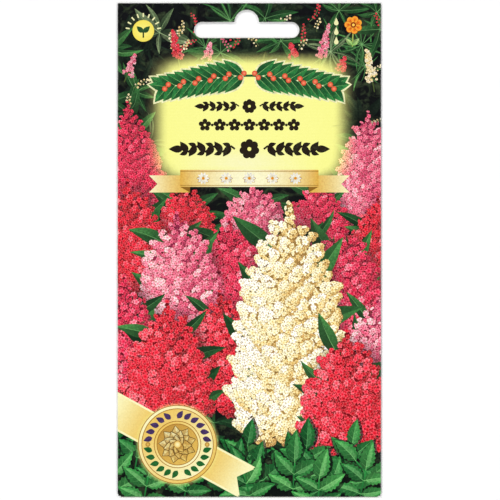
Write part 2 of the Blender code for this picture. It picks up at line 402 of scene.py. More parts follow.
def layCollar(foot, axis, across, length, half, reach, draw):
    low, high = coloursIn(foliage["green"])
    for k in range(flowers["collar"]):
        side = 1 if k % 2 else -1
        s = (k + draw.uniform(0, 1)) / flowers["collar"] * 0.95 - 0.1
        root = tuple(foot + axis * s * length + across * side * 0.5 * reach(s))
        turn = math.atan2(axis[1], axis[0]) - side * draw.uniform(0.45, 1.35)
        size = half * draw.uniform(0.95, 1.3)
        colour = mixed(low, high, draw.uniform(0, 1))
        width = size * draw.uniform(0.26, 0.36)
        layLeaf(root, turn, size, width, mixed(colour, (0, 0.03, 0.02), 0.5), colour,
                bend=draw.uniform(-0.6, 0.6), vein=mixed(colour, foliage["vein"], 0.35), shade=0.35)


# The shadow, the leaves and the dark core under a head's florets
def layHeadBase(foot, axis, across, length, half, reach, tones, draw):
    size = (length * 0.64, half * 1.28)
    middle = foot + axis * 0.46 * length + np.array(flowers["shadeShift"])
    lean = math.atan2(axis[1], axis[0])
    layShape(placed(ovalOf(size, 36), middle, lean), flowers["shadeInk"], at=tuple(middle), turn=lean,
             size=size, fade=0.42, opacity=flowers["shade"])
    layCollar(foot, axis, across, length, half, reach, draw)
    core = []
    for side, places in ((1, steps(0.06, 0.95, 9)), (-1, steps(0.95, 0.06, 9))):
        core += [foot + axis * s * length + across * side * 0.74 * reach(s) * (1 - s ** 3) for s in places]
    layShape([tuple(p) for p in core], toned(tones, 0.08))


# The middles, sizes and ways of a head's branches, set out from foot to tip by the golden angle
def placeBranches(length, half, floret, reach, draw):
    bunch = max(flowers["bunch"] * half, 1.8 * floret)
    cuts = 80
    marks = [(i + 0.5) / cuts for i in range(cuts)]
    sums = np.cumsum([(reach(s) / half) ** 0.6 for s in marks])
    count = int(flowers["cover"] * sums[-1] / cuts * length * half / bunch ** 2)
    middles = [(0, s * length, 0) for s, size in flowers["tips"]]
    radii, ways = [bunch * size for s, size in flowers["tips"]], [(0, 1, 0)] * len(flowers["tips"])
    for i in range(count):
        s = marks[int(np.searchsorted(sums, sums[-1] * (i + draw.uniform(0.2, 0.8)) / count))]
        turn = ((i * goldenShare) % 1 - 0.5) * math.pi * 1.1
        radius = bunch * (0.35 + 0.65 * reach(s) / half) * draw.uniform(0.8, 1.2)
        out = max(reach(s) - draw.uniform(*flowers["setBack"]) * radius * flowers["branch"][0] * 0.85, 0)
        middles.append((math.sin(turn) * out, s * length * 0.95, math.cos(turn) * out))
        radii.append(radius)
        ways.append((math.sin(turn), draw.uniform(0.3, 0.9), 0.7 * math.cos(turn)))
    ways = np.array(ways, float)
    return np.array(middles), np.array(radii), ways / np.linalg.norm(ways, axis=1)[:, None]


# Whether a place on one branch lies within another
def isCovered(place, number, middles, radii, ways):
    long, wide = flowers["branch"]
    gaps = place - middles
    along = (gaps * ways).sum(1)
    off = np.linalg.norm(gaps - ways * along[:, None], axis=1)
    along = along / (radii * long)
    off = off / (radii * wide * (1 - flowers["tipNarrower"] * np.clip(along, -1, 1)))
    inside = along ** 2 + off ** 2 < flowers["overlap"]
    inside[number] = False
    return inside.any()


# A head is a blunt cone of short branches that lean out and up, each covered with florets. Their
# places are told across the head, along it and towards the viewer
def layHead(foot, tip, half, floret, tones, near, draw):
    tones = coloursIn(flowers[tones])
    foot, tip = np.array(foot, float), np.array(tip, float)
    length = np.linalg.norm(tip - foot)
    axis = (tip - foot) / length
    across = np.array((axis[1], -axis[0]))
    light = np.array(flowers["light"])
    light = np.array((light[:2] @ across, light[:2] @ axis, light[2]))
    light /= np.linalg.norm(light)
    long, wide = flowers["branch"]
    power = flowers["taper"][0] * draw.uniform(0.8, 1.15)

    def profile(s):
        return (1 - s) ** power * (s + 0.03) ** flowers["taper"][1]

    top = max(profile(s) for s in steps(0, 1, 40))

    def reach(s):
        return half * profile(min(max(s, 0), 1)) / top

    def onPrint(place):
        return tuple(foot + across * place[0] + axis * place[1])

    def shadeAt(place, normal, share, radius):
        around = math.hypot(place[0], place[2])
        outward = np.array((place[0], 0.25 * around, place[2])) / max(around, 0.1)
        facing = 0.65 * normal + 0.45 * outward
        facing /= np.linalg.norm(facing)
        deep = float(smooth(0.45, 1.0, around / (reach(place[1] / length) + 0.5 * radius)))
        crevice = 0.5 * deep + 0.5 * float(smooth(-0.8, 0.5, share))
        shade = flowers["ambient"] + (1 - flowers["ambient"]) * max(facing @ light, 0)
        return shade, 0.4 + 0.6 * crevice

    middles, radii, ways = placeBranches(length, half, floret, reach, draw)
    layHeadBase(foot, axis, across, length, half, reach, tones, draw)
    made = []
    for i, (middle, radius, way) in enumerate(zip(middles, radii, ways)):
        for offset, grow in ((-0.45, 0.85), (0.35, 0.7)):
            spot = middle + way * radius * long * offset
            shade = (0.13 + 0.08 * spot[2] / half) * near
            made.append((spot[2] - 0.6, onPrint(spot), shade, 0, 1, radius * wide * grow, None))
        own = draw.uniform(*flowers["branchTone"])
        number = int(flowers["florets"] * (radius / floret) ** 2)
        for j in range(number):
            z = 1 - (j + 0.5) / number * 2
            angle = j * fullTurn * goldenShare + i
            flat = math.sqrt(1 - z * z)
            spot = np.array((flat * math.cos(angle), flat * math.sin(angle), z))
            share = float(spot @ way)
            aside = spot - way * share
            normal = aside / wide + way * share / long
            normal /= np.linalg.norm(normal)
            spread = wide * (1 - flowers["tipNarrower"] * share)
            place = middle + (aside * spread + way * long * share) * radius * draw.uniform(0.95, 1.06)
            if normal[2] < -0.1 or place[2] < -0.5 or isCovered(place, i, middles, radii, ways):
                continue
            shade, dim = shadeAt(place, normal, share, radius)
            shade *= dim * own * draw.uniform(0.8, 1.18) * near
            lean = across * normal[0] + axis * normal[1]
            size = floret * (0.7 + 0.3 * reach(place[1] / length) / half) * draw.uniform(0.82, 1.15)
            tilt, depth = math.atan2(lean[1], lean[0]), place[2] + draw.uniform(-0.3, 0.3)
            if normal[2] > 0.3 and draw.random() < flowers["accents"]:
                shade, size, depth = shade + 0.14, size * 1.12, depth + 1.2
            spin = draw.uniform(0, fullTurn)
            made.append((depth, onPrint(place), shade, tilt, max(normal[2], 0.5), size, spin))
    made.sort(key=lambda one: one[0])
    for _, at, shade, tilt, squash, size, spin in made:
        if spin is None:
            layBall(at, size, toned(tones, shade), toned(tones, shade * 0.7), sides=12)
        else:
            layFloret(at, size, spin, tilt, squash, toned(tones, shade * 0.6), toned(tones, shade))


def layHeads(row, seed):
    draw = random.Random(seed)
    for head in flowers[row]:
        layHead(*head, draw)


foliage = {
    "ground": "#07080c",
    "groundLow": "#060c08",
    "dark": ["#0f1c13", "#26382a"],
    "green": ["#22592d", "#5caa56"],
    "pale": ["#5f7c50", "#a3b784"],
    "fresh": ["#1e7f38", "#66d668"],
    "vein": (0.85, 1, 0.7),
    "stalk": "#4a5a2c",
    "twig": "#6f7f4a",
    "tufts": [("dark", 30), ("green", 20), ("pale", 5)],  # from the farthest to the nearest
    "cast": (0.0, 0.03, 0.02),  # shadows under the leaves at the foot
    "lowSprays": 20,
    "stalks": 24,
    "sprigs": 44,
    "clear": [(-32.2, 66.6, 6.2), (31.6, 66.5, 4.6), (26.4, 66.5, 3.2)],  # x, y and how far round them
    # x, y, turn, length, tones
    "sprays": [
        (-21, 55, 1.75, 12, "reds"), (-13, 56, 1.4, 7, "pinks"), (21, 55, 1.35, 14, "pinks"),
        (14, 57, 1.8, 6, "reds"), (-38, 51, 1.2, 9, "pinks"), (38, 48, 1.75, 13, "creams"),
        (27, 53, 1.25, 6, "reds"),
    ],
}


def layGround():
    edge = sideFold + 1.6
    bottom = footFold - 1.2
    corners = [(-edge, bottom), (edge, bottom), (edge, halfHeight + 1), (-edge, halfHeight + 1)]
    low, high = coloursOf(foliage, "groundLow", "ground")
    layShape(corners, low, high, ramp="along", at=(0, bottom), turn=math.pi / 2, size=(2 * halfHeight, 1),
             mottle=0.5)


# Whorls of narrow leaves, the far ones dark
def layTufts():
    draw = random.Random(4)
    for i, kind in enumerate(kind for kind, count in foliage["tufts"] for _ in range(count)):
        if i % 2:
            at = (draw.uniform(-41, 41), draw.uniform(58, 75))
        else:
            at = (draw.choice((-1, 1)) * draw.uniform(30, 42), draw.uniform(-45, 62))
        low, high = coloursIn(foliage[kind])
        first = draw.uniform(0, fullTurn)
        blades = i % 5 in (0, 3)
        number = 13 if blades else 7
        for k in range(number):
            colour = mixed(low, high, draw.uniform(0, 1))
            length = draw.uniform(5, 11)
            width = length * (draw.uniform(0.07, 0.13) if blades else draw.uniform(0.18, 0.34))
            turn = first + (k + draw.uniform(-0.4, 0.4)) * fullTurn / number
            root, end = mixed(colour, (0, 0.02, 0.02), 0.55), mixed(colour, high, 0.4)
            vein = None if kind == "dark" else mixed(colour, foliage["vein"], 0.35)
            layLeaf(at, turn, length, width, root, end, bend=draw.uniform(-0.9, 0.9), vein=vein, shade=0.36)


# Thin stalks with small florets on their upper parts
def laySprays():
    draw = random.Random(8)
    for x, y, turn, length, tones in foliage["sprays"]:
        tones = coloursIn(flowers[tones])
        layStroke((x, y), moved((x, y), turn, length * 0.9), 0.35, colourOf(foliage["stalk"]))
        count = int(length * 5.5)
        for i in range(count):
            along = length * (0.25 + 0.75 * (i + 0.5) / count)
            aside = draw.uniform(-1, 1) * 2.1 * (1.12 - along / length)
            at = placed([(along, aside)], (x, y), turn)[0]
            layFloret(at, draw.uniform(0.36, 0.62), draw.uniform(0, 6), turn, 0.85,
                      toned(tones, draw.uniform(0.1, 0.3)), toned(tones, draw.uniform(0.45, 0.95)))


# Sprigs of tiny buds over the far leaves, clear of the badges
def laySprigs():
    draw = random.Random(12)
    step = 0.5
    for i in range(foliage["sprigs"]):
        if i % 3:
            spots = [(draw.uniform(-40, 40), draw.uniform(59, 71))]
        else:
            spots = [(draw.choice((-1, 1)) * draw.uniform(35, 40), draw.uniform(15, 58))]
        tones = coloursIn(flowers[draw.choice(("creams", "creams", "creams", "pinks", "reds"))])
        way, bend, length = draw.uniform(0.6, 2.5), draw.uniform(-0.12, 0.12), draw.uniform(4, 7)
        number = int(length / step)
        for _ in range(number):
            spots.append(moved(spots[-1], way, step))
            way += bend
        if any(math.hypot(x - px, y - py) < reach for px, py in spots for x, y, reach in foliage["clear"]):
            continue
        for start, end in zip(spots[::3], spots[3::3]):
            layStroke(start, end, 0.14, colourOf(foliage["twig"]))
        for k, spot in enumerate(spots[2:]):
            aside = (1 if k % 2 else -1) * draw.uniform(0.2, 0.9) * (1.2 - k / number)
            at = moved(spot, way - math.pi / 2, aside)
            layFloret(at, draw.uniform(0.24, 0.42), draw.uniform(0, 6), draw.uniform(0, 3), 0.85,
                      toned(tones, draw.uniform(0.1, 0.3)), toned(tones, draw.uniform(0.4, 0.85)), sides=6)


# Leaves in pairs along the stalks, in the gaps between the heads
def layStalks():
    draw = random.Random(6)
    low, high = coloursIn(foliage["green"])
    for i in range(foliage["stalks"]):
        x = -40 + 80 * (i + draw.uniform(0.1, 0.9)) / foliage["stalks"]
        top = draw.uniform(-30, 5)
        foot, tip = (x, top - 40), (x + draw.uniform(-1, 1), top)
        layStroke(foot, tip, 0.9, mixed(low, (0, 0, 0), 0.4), mixed(low, high, 0.5))
        for y in (top - 2 - 8 * k for k in range(5)):
            for side in (0, math.pi):
                colour = mixed(low, high, draw.uniform(0, 0.9))
                turn = side + draw.uniform(0.2, 0.7) * (1 if side == 0 else -1)
                length, width = draw.uniform(8, 12), draw.uniform(2.4, 3.4)
                layLeaf((x, y), turn, length, width, mixed(colour, (0, 0.03, 0.04), 0.4), colour,
                        bend=draw.uniform(-0.6, 0.6), vein=mixed(colour, (0.8, 1, 0.7), 0.3), shade=0.35)


# Sprays of broad serrated leaflets at the foot, the nearer ones over the farther ones
def layLowLeaves():
    draw = random.Random(9)
    low, high = coloursIn(foliage["fresh"])
    castInk = foliage["cast"]
    count = foliage["lowSprays"]
    for i in range(count):
        near = i / (count - 1)
        foot = (-43 + 86 * ((i * goldenShare) % 1), -67 - 11 * near + draw.uniform(-1, 1))
        lean = math.pi / 2 + draw.uniform(-0.75, 0.75)
        stalk = 9 + draw.uniform(-1, 1)
        end = moved(foot, lean, stalk)
        leaflets = []
        for along, out in ((0.2, 1.25), (0.65, 0.95)):
            root = moved(foot, lean, along * stalk)
            for side in (-1, 1):
                turn = lean + side * (out + draw.uniform(-0.15, 0.2))
                leaflets.append((root, turn, draw.uniform(7.8, 9.6)))
        leaflets.append((end, lean + draw.uniform(-0.2, 0.2), draw.uniform(8.5, 10.5)))
        layStroke(foot, end, 0.45, mixed(low, (0, 0, 0), 0.3), mixed(low, high, 0.2))
        for root, turn, size in leaflets:
            lit = mixed(low, high, draw.uniform(0.0, 1.0) * (0.55 + 0.45 * near))
            bend, wide = draw.uniform(-0.45, 0.45), size * draw.uniform(0.46, 0.54)
            x, y = moved(root, turn, 0.45)
            cast = (x + 0.35, y - 0.45)
            layLeaf(cast, turn, size + 0.5, wide + 0.7, castInk, castInk, bend=bend, cover=0.6)
            layLeaf(root, turn, size, wide, mixed(lit, leaf["shade"], 0.38), lit, bend=bend, teeth=7,
                    veins=4, vein=mixed(lit, foliage["vein"], 0.42), shade=0.24, shine=0.12 + 0.16 * near)


panel = {
    "middle": (0.4, 39.8),
    "half": (33.0, 21.5),
    "fade": 0.24,
    "colour": "#faf98f",
    "glow": "#fcfb98",
    "pale": "#faf7c4",
    "glowMiddle": (-2, 26.5),
    "glowHalf": (27, 7),
}


# A box with round corners and sides that bulge a little
def panelRing(grow):
    points = []
    for angle in steps(0, fullTurn, 72)[:-1]:
        c, s = math.cos(angle), math.sin(angle)
        reach = grow / ((abs(c) ** 6 + abs(s) ** 6) ** (1 / 6))
        x, y = (panel["half"][0] * reach * c, panel["half"][1] * reach * s)
        points.append((panel["middle"][0] + x, panel["middle"][1] + y))
    return points


def layPanel():
    glow, colour, pale = coloursOf(panel, "glow", "colour", "pale")
    layShape(panelRing(1.0), glow, colour, ramp="box", at=panel["middle"], size=panel["half"],
             fade=panel["fade"], fadeBy="box", power=2)
    for grow in (0.97, 0.94, 0.91, 0.88, 0.85, 0.82, 0.79, 0.76):
        laySpots(panelRing(grow))
    layShape(ovalOf(panel["glowHalf"], 48, panel["glowMiddle"]), pale, at=panel["glowMiddle"],
             size=panel["glowHalf"], fade=1.0, opacity=0.85)


# Two laurel branches that meet over the middle, with a pale edge
garland = {
    "middle": (0, 50.6),
    "half": 30.5,
    "rise": 2.4,
    "leaf": 7.6,
    "width": 3.1,
    "pairs": 10,
    "lean": 0.72,
    "dark": "#14582f",
    "light": "#3f9a4c",
    "vein": "#a8dd86",
    "edge": "#fefcc4",
    "berryPairs": 6,
    "bright": "#ff9a6e",
    "deep": "#d93a26",
}


def garlandPoint(x):
    rise = garland["rise"] * math.cos(x / garland["half"] * math.pi * 0.8)
    return (garland["middle"][0] + x, garland["middle"][1] + rise)


def layGarland():
    edge, dark, light, vein = coloursOf(garland, "edge", "dark", "light", "vein")
    bright, deep = coloursOf(garland, "bright", "deep")
    leaves = []
    for side in (-1, 1):
        for i in range(garland["pairs"]):
            share = i / (garland["pairs"] - 1)
            x = side * (2.0 + (garland["half"] - 7.5) * share)
            here, ahead = garlandPoint(x), garlandPoint(x + side)
            way = math.atan2(ahead[1] - here[1], ahead[0] - here[0])
            size = garland["leaf"] * (1 - 0.22 * share)
            lean = side * garland["lean"]
            leaves += [(here, way + lean, size), (here, way - lean, size)]
        end = garlandPoint(side * (garland["half"] - 6))
        leaves.append((end, 0.12 if side > 0 else math.pi - 0.12, garland["leaf"] * 0.8))
    leaves.sort(key=lambda one: -abs(one[0][0]))
    for here, turn, size in leaves:
        layPlainLeaf(moved(here, turn, -0.6), turn, size + 1.3, garland["width"] + 1.3, edge)
    xs = steps(2.5 - garland["half"], garland["half"] - 6, 20)
    for left, right in zip(xs, xs[1:]):
        layStroke(garlandPoint(left), garlandPoint(right), 0.7, dark)
    for here, turn, size in leaves:
        layLeaf(here, turn, size, garland["width"], dark, light, vein=vein, shade=0.28, points=8)
    for side in (-1, 1):
        for i in range(garland["berryPairs"]):
            x, y = garlandPoint(side * (1.6 + 4.6 * i))
            for dx, dy in ((0, 0.75), (side * 1.1, -0.55)):
                layBall((x + dx, y + dy), 0.82, bright, deep, sides=12)


# Rows of small ornaments in dark ink, where a packet has its title
title = {
    "ink": "#241a10",
    # height on the packet, half width, scale, and whether it is a vine
    "rows": [(43.7, 13.5, 1.25, True), (38.0, 13.5, 1.25, False), (30.7, 20.0, 1.75, True)],
}


def layVine(y, half, scale, ink):
    start = 2.5 * scale
    count = round((half - start) / (1.55 * scale))
    pitch = (half - start) / count
    wave = 0.55 * scale

    def spot(x, out):
        return (out * (start + x), y + wave * math.sin(x * math.pi / pitch))

    for out in (-1, 1):
        for i in range(count):
            for k in (i, i + 0.5):
                layStroke(spot(k * pitch, out), spot((k + 0.5) * pitch, out), 0.34 * scale, ink)
            side = 1 if i % 2 else -1
            root = spot((i + 0.5) * pitch, out)
            turn = side * 0.95 if out > 0 else math.pi - side * 0.95
            layPlainLeaf(root, turn, 2.3 * scale, 1.25 * scale, ink)
            layPlainLeaf(root, turn - side * out * 1.25, 1.5 * scale, 0.8 * scale, ink)
        layPlainLeaf((out * half, y), 0 if out > 0 else math.pi, 2.6 * scale, 1.3 * scale, ink)


def layBlossom(at, radius, petals, ink, middle):
    for spot in ringOf(radius * 0.62, petals, at, start=math.pi / 2):
        layDisc(spot, radius * 0.38, ink, sides=12)
    layDisc(at, radius * 0.42, ink, sides=12)
    layDisc(at, radius * 0.2, middle, sides=10)


def layTitle():
    ink, middle = colourOf(title["ink"]), colourOf(panel["colour"])
    for y, half, scale, isVine in title["rows"]:
        if isVine:
            layVine(y, half, scale, ink)
            layBlossom((0, y), 1.75 * scale, 7, ink, middle)
            continue
        pitch = half / 3
        for k in range(-3, 4):
            layBlossom((k * pitch, y), 1.55 * scale, 5, ink, middle)
            if k < 3:
                layDisc(((k + 0.5) * pitch, y), 0.35 * scale, ink, sides=10)


ribbon = {
    "middle": (0, 21.8),
    "half": 21.0,
    "wide": 5.2,
    "tail": 9.5,
    "drop": 1.7,  # how far the tails hang below the middle
    "lap": 3,  # how far they run behind it
    "notch": 2.6,
    "daisies": 5,
    "daisyPitch": 7.0,
    "bright": "#fffbd0",
    "gold": "#e2b04a",
    "deep": "#8f6420",
    "petal": "#f4e9c0",
    "eye": "#e0901c",
}


def layDaisy(at, radius, petals, fat, root, end, middle):
    for k in range(petals):
        layLeaf(at, fullTurn * k / petals, radius, radius * fat, root, end, points=7)
    layDisc(at, radius * 0.24, middle, middle, sides=12)


def layRibbon():
    x, y = ribbon["middle"]
    half, rise, lap = ribbon["half"], ribbon["wide"] / 2, ribbon["lap"]
    bright, gold, deep, petal, eye = coloursOf(ribbon, "bright", "gold", "deep", "petal", "eye")
    for side in (-1, 1):
        inner, outer, low = x + side * (half - lap), x + side * (half + ribbon["tail"]), y - ribbon["drop"]
        end = x + side * half
        turn = 0 if side > 0 else math.pi
        tail = [(inner, low - rise), (outer, low - rise), (outer - side * ribbon["notch"], low),
                (outer, low + rise), (inner, low + rise)]
        layShape(tail, gold, bright, ramp="along", at=(inner, low), turn=turn, size=(13, rise), power=1.2,
                 speck=0.08)
        laySpots([(inner + side * k, low) for k in (1, 3, 5, 7, 9)])
        layShape([(end, y - rise), (inner, y - rise), (inner, low - rise)], deep)
        middle = [(x, y - rise), (end, y - rise), (end, y + rise), (x, y + rise)]
        layShape(middle, bright, gold, ramp="along", at=(x, y), turn=turn, size=(half, rise), power=2.2,
                 speck=0.08)
        laySpots([(x + side * k, y) for k in steps(1, half - 1, 9)])
        for edge in (-1, 1):
            top = y + edge * (rise - 0.45)
            layStroke((x, top), (end, top), 0.26, deep, opacity=0.55)
    brown = mixed(gold, deep, 0.4)
    for k in range(ribbon["daisies"]):
        at = (x + (k - ribbon["daisies"] // 2) * ribbon["daisyPitch"], y)
        layDaisy(at, 2.1, 10, 0.62, brown, brown, gold)
        layDaisy(at, 1.9, 10, 0.5, petal, (1, 1, 1), eye)


badges = {
    "disc": (-32.2, 66.6),
    "discRadius": 3.3,
    "rays": 9,
    "yellow": ["#fdf58a", "#f6e25c"],
    "sprout": ["#20371c", "#24502a"],
    "bloom": (31.6, 68.4),
    "bloomRadius": 2.75,
    "petals": 7,
    "rim": "#a8300c",
    "orange": ["#f0641c", "#ffb63a"],
    "heart": ["#8a2408", "#ffd05a"],
    "stem": "#a9b85a",
    "leaf": ["#8ec860", "#d5eca0"],
    "drops": [(26.4, 69.3), (26.4, 66.4), (26.4, 63.5)],
    "pale": "#f3f0b4",
}


def layBadges():
    pale, rim, stem = coloursOf(badges, "pale", "rim", "stem")
    pairs = ("yellow", "sprout", "orange", "heart", "leaf")
    yellow, sprout, orange, heart, green = (coloursIn(badges[name]) for name in pairs)
    at, radius = badges["disc"], badges["discRadius"]
    x, y = at
    layBall(at, radius, *yellow, sides=40)
    layStroke((x, y - 2.1), (x, y + 0.2), 0.45, sprout[0])
    for turn in (0.75, math.pi - 0.75):
        layPlainLeaf((x, y - 0.5), turn, 2.8, 1.6, sprout[1])
    for a in steps(math.pi * 0.05, math.pi * 0.95, badges["rays"] - 1):
        layStroke(moved(at, a, radius + 0.9), moved(at, a, radius + 2.1), 0.42, pale)
    at, radius = badges["bloom"], badges["bloomRadius"]
    x, y = at
    layStroke(at, (x - 0.3, y - 6.6), 0.36, stem)
    for turn in (0.8, math.pi - 0.8):
        layLeaf((x - 0.3, y - 6.2), turn, 3.0, 1.5, *green, shade=0.25)
    for middle in ringOf(radius * 0.62, badges["petals"], at, start=0.4):  # rounded petals with dark rims
        layDisc(middle, radius * 0.4, rim, sides=18)
        layBall(middle, radius * 0.35, *orange, sides=18)
        layStroke(at, middle, 0.16, rim)
    layDisc(at, radius * 0.3, heart[0], sides=16)
    layDisc(at, radius * 0.16, heart[1], sides=12)
    for x, y in badges["drops"]:
        layShape([(x, y + 1.35), *arcOf(0.68, (x, y - 0.35), 155, 385, 12)], pale)


seal = {
    "middle": (-21.8, -59.0),
    "radius": 12.0,
    "band": 10.5,
    "bandRim": 0.6,
    "tilt": -0.5,
    "glow": (0.97, 0.93, 0.55),
    "bright": "#fffac2",
    "gold": "#eec660",
    "deep": "#a8742a",
    "leaves": 24,
    "upper": "#4b3566",
    "lower": "#1f6a2e",
    # number of petals, their length as a share of the radius, their width, and the first one's turn
    "rosette": [(9, 0.49, 3.5, 0.3), (9, 0.38, 2.9, 0.3 + math.pi / 9), (7, 0.25, 2.0, 0.0)],
    "lightFrom": 2.3,
}


# The band behind the seal runs off the packet on its left and ends in a notch on its right
def laySealBand(bright, gold):
    at, wide = seal["middle"], seal["band"]
    for side in (-1, 1):
        turn = seal["tilt"] + (0 if side > 0 else math.pi)
        corners = [(0, -wide / 2), (34, -wide / 2), (34, wide / 2), (0, wide / 2)]
        if side > 0:
            corners = [(0, -wide / 2), (24, -wide / 2), (20.5, 0), (24, wide / 2), (0, wide / 2)]
        for inset, colour in ((0.0, bright), (seal["bandRim"], gold)):
            narrowed = [(px, py * (1 - 2 * inset / wide)) for px, py in corners]
            layShape(placed(narrowed, at, turn), colour, bright, ramp="along", at=moved(at, turn, 9),
                     turn=turn, size=(13, 1), power=1.3, speck=0.05)
            laySpots(placed([(k, 0) for k in steps(11, 22, 6)], at, turn))


def laySeal():
    at, radius = seal["middle"], seal["radius"]
    x, y = at
    bright, gold, deep, upper, lower = coloursOf(seal, "bright", "gold", "deep", "upper", "lower")
    laySealBand(bright, gold)
    halo = radius + 1.1
    layShape(ringOf(halo, 64, at), seal["glow"], at=at, size=(halo, halo), fade=0.12, opacity=0.8)
    laySpots(ringOf(radius * 1.03, 64, at))
    rings = (
        (1.0, deep, deep, 0.8), (0.98, gold, bright, 2.3), (0.915, deep, deep, 2.3),
        (0.895, bright, gold, 2.3), (0.6, deep, deep, 5.4), (0.58, gold, bright, 5.4),
        (0.53, deep, deep, 2.3),
        (0.51, mixed(gold, deep, 0.1), mixed(gold, deep, 0.6), 2.3),
    )
    for share, colour, tone, turn in rings:
        size = radius * share
        layShape(ringOf(size, 56, at), colour, tone, ramp="along", at=moved(at, turn, -size), turn=turn,
                 size=(2 * size, 1), speck=0.05)
        laySpots(ringOf(size * 0.5, 10, at))
    for k in range(seal["leaves"]):  # a wreath of small leaves, with a berry at each side
        a = fullTurn * k / seal["leaves"]
        if k % (seal["leaves"] // 2) == 0:
            layBall((x + radius * 0.75 * math.cos(a), y), 0.75, gold, deep)
            continue
        isUpper = math.sin(a) > 0
        turn = a + (0.6 if math.cos(a) < 0 else -0.6) * (1 if isUpper else -1)
        layPlainLeaf(moved(at, a, radius * 0.66), turn, 2.9, 1.7, upper if isUpper else lower)
    for count, reach, fat, start in seal["rosette"]:
        for k in range(count):  # each petal has a lit side and a shaded side
            turn = start + fullTurn * k / count
            lit = 0.5 + 0.5 * math.cos(turn - seal["lightFrom"])
            layPlainLeaf(at, turn, radius * reach, fat + 0.5, mixed(deep, (0, 0, 0), 0.35))
            root, end = mixed(deep, gold, 0.3), mixed(gold, bright, 0.2 + 0.8 * lit)
            layLeaf(at, turn, radius * reach - 0.25, fat, root, end, vein=mixed(deep, gold, 0.1), shade=0.45,
                    dim=mixed(deep, gold, 0.2))
    layBall(at, radius * 0.1, deep, deep, sides=28)
    layBall(at, radius * 0.085, bright, gold, sides=28)


# The back is read with the header up, so its places are turned half round on the blank
def onBack(x, y):
    return (-x, backStart - y)


backPrint = {
    "ground": "#f6f3cf",
    "ink": "#24462b",
    "band": "#1f5a33",
    "trim": "#e2b04a",
    "rule": 0.3,
    "rules": (120, 113, 106, 99, 92),  # lines for the gardener's own notes
    "calendar": 32,  # half its width
    "months": 12,
    "sown": [(2, 4), (4, 6), (6, 9)],
    "signHeight": 44,
    "signs": [(-20, "#f2b632"), (0, "#3f86b8"), (20, "#8a5a34")],
    "sun": ["#d98b12", "#f7a81e"],
    "water": "#2f78b0",
    "sprout": ["#2f6b3a", "#4f9a4b"],
    "soil": "#8a5a34",
    "dots": [(30, 64), (25, 64), (20, 48)],  # height and length of rows of dots
}
# The strokes of each number, in a box two wide and four high
numberStrokes = {
    "0": [(0, 0, 2, 0), (2, 0, 2, 4), (2, 4, 0, 4), (0, 4, 0, 0)],
    "1": [(1, 0, 1, 4), (0.2, 3.2, 1, 4)],
    "2": [(0, 4, 2, 4), (2, 4, 2, 2), (2, 2, 0, 2), (0, 2, 0, 0), (0, 0, 2, 0)],
    "3": [(0, 4, 2, 4), (2, 4, 2, 0), (2, 0, 0, 0), (0.4, 2, 2, 2)],
    "4": [(0, 4, 0, 2), (0, 2, 2, 2), (2, 4, 2, 0)],
    "5": [(2, 4, 0, 4), (0, 4, 0, 2), (0, 2, 2, 2), (2, 2, 2, 0), (2, 0, 0, 0)],
    "6": [(2, 4, 0, 4), (0, 4, 0, 0), (0, 0, 2, 0), (2, 0, 2, 2), (2, 2, 0, 2)],
    "7": [(0, 4, 2, 4), (2, 4, 0.8, 0)],
    "8": [(0, 0, 2, 0), (2, 0, 2, 4), (2, 4, 0, 4), (0, 4, 0, 0), (0, 2, 2, 2)],
    "9": [(2, 2, 0, 2), (0, 2, 0, 4), (0, 4, 2, 4), (2, 4, 2, 0), (2, 0, 0, 0)],
}


def layBackStroke(start, end, width, colour, **more):
    layStroke(onBack(*start), onBack(*end), width, colour, **more)


def layBackBox(left, low, right, high, colour, **more):
    layShape([onBack(*p) for p in ((left, low), (right, low), (right, high), (left, high))], colour, **more)


def layBackNumber(text, x, y, size, colour):
    scale = size / 4
    for place, digit in enumerate(text):
        left = x + (place - len(text) / 2) * 2.9 * scale + 0.4 * scale
        for x0, y0, x1, y1 in numberStrokes[digit]:
            layBackStroke((left + x0 * scale, y + y0 * scale), (left + x1 * scale, y + y1 * scale),
                          0.42 * scale + 0.06, colour)


def layCalendar(ground, ink, band):
    half, months = backPrint["calendar"], backPrint["months"]
    cell = 2 * half / months
    for month in range(1, months + 1):
        x = -half + cell * (month - 0.5)
        layBackNumber(str(month), x, 79.5, 2.6, ink)
        for row, (first, last) in enumerate(backPrint["sown"]):
            colour = mixed(band, ground, 0.25 if first <= month - 1 <= last else 0.85)
            layBackBox(x - cell * 0.44, 72 - row * 5.4, x + cell * 0.44, 76.4 - row * 5.4, colour)


# Signs for sun, water and sowing, each on a disc
def laySigns(ink):
    y = backPrint["signHeight"]
    for x, tone in backPrint["signs"]:
        layDisc(onBack(x, y), 6.4, ink, sides=40)
        layDisc(onBack(x, y), 5.9, mixed(colourOf(tone), (1, 1, 1), 0.55), sides=40)
    ray, sun = coloursIn(backPrint["sun"])
    left, middle, right = (x for x, tone in backPrint["signs"])
    for a in steps(0, fullTurn, 10)[:-1]:
        layBackStroke(moved((left, y), a, 3.0), moved((left, y), a, 4.6), 0.5, ray)
    layDisc(onBack(left, y), 2.3, sun, sides=20)
    drop = [(middle, y + 3.8), *arcOf(2.4, (middle, y - 1.4), 160, 380, 10)]
    layShape([onBack(*p) for p in drop], colourOf(backPrint["water"]))
    stem, blade = coloursIn(backPrint["sprout"])
    layBackStroke((right, y - 3.2), (right, y + 1), 0.5, stem)
    for turn in (math.pi + 0.7, -0.7):
        layLeaf(onBack(right, y - 0.4), turn, 4.2, 2.2, blade, stem, shade=0.3)
    layBackStroke((right - 5.2, y - 3.2), (right + 5.2, y - 3.2), 0.7, colourOf(backPrint["soil"]))


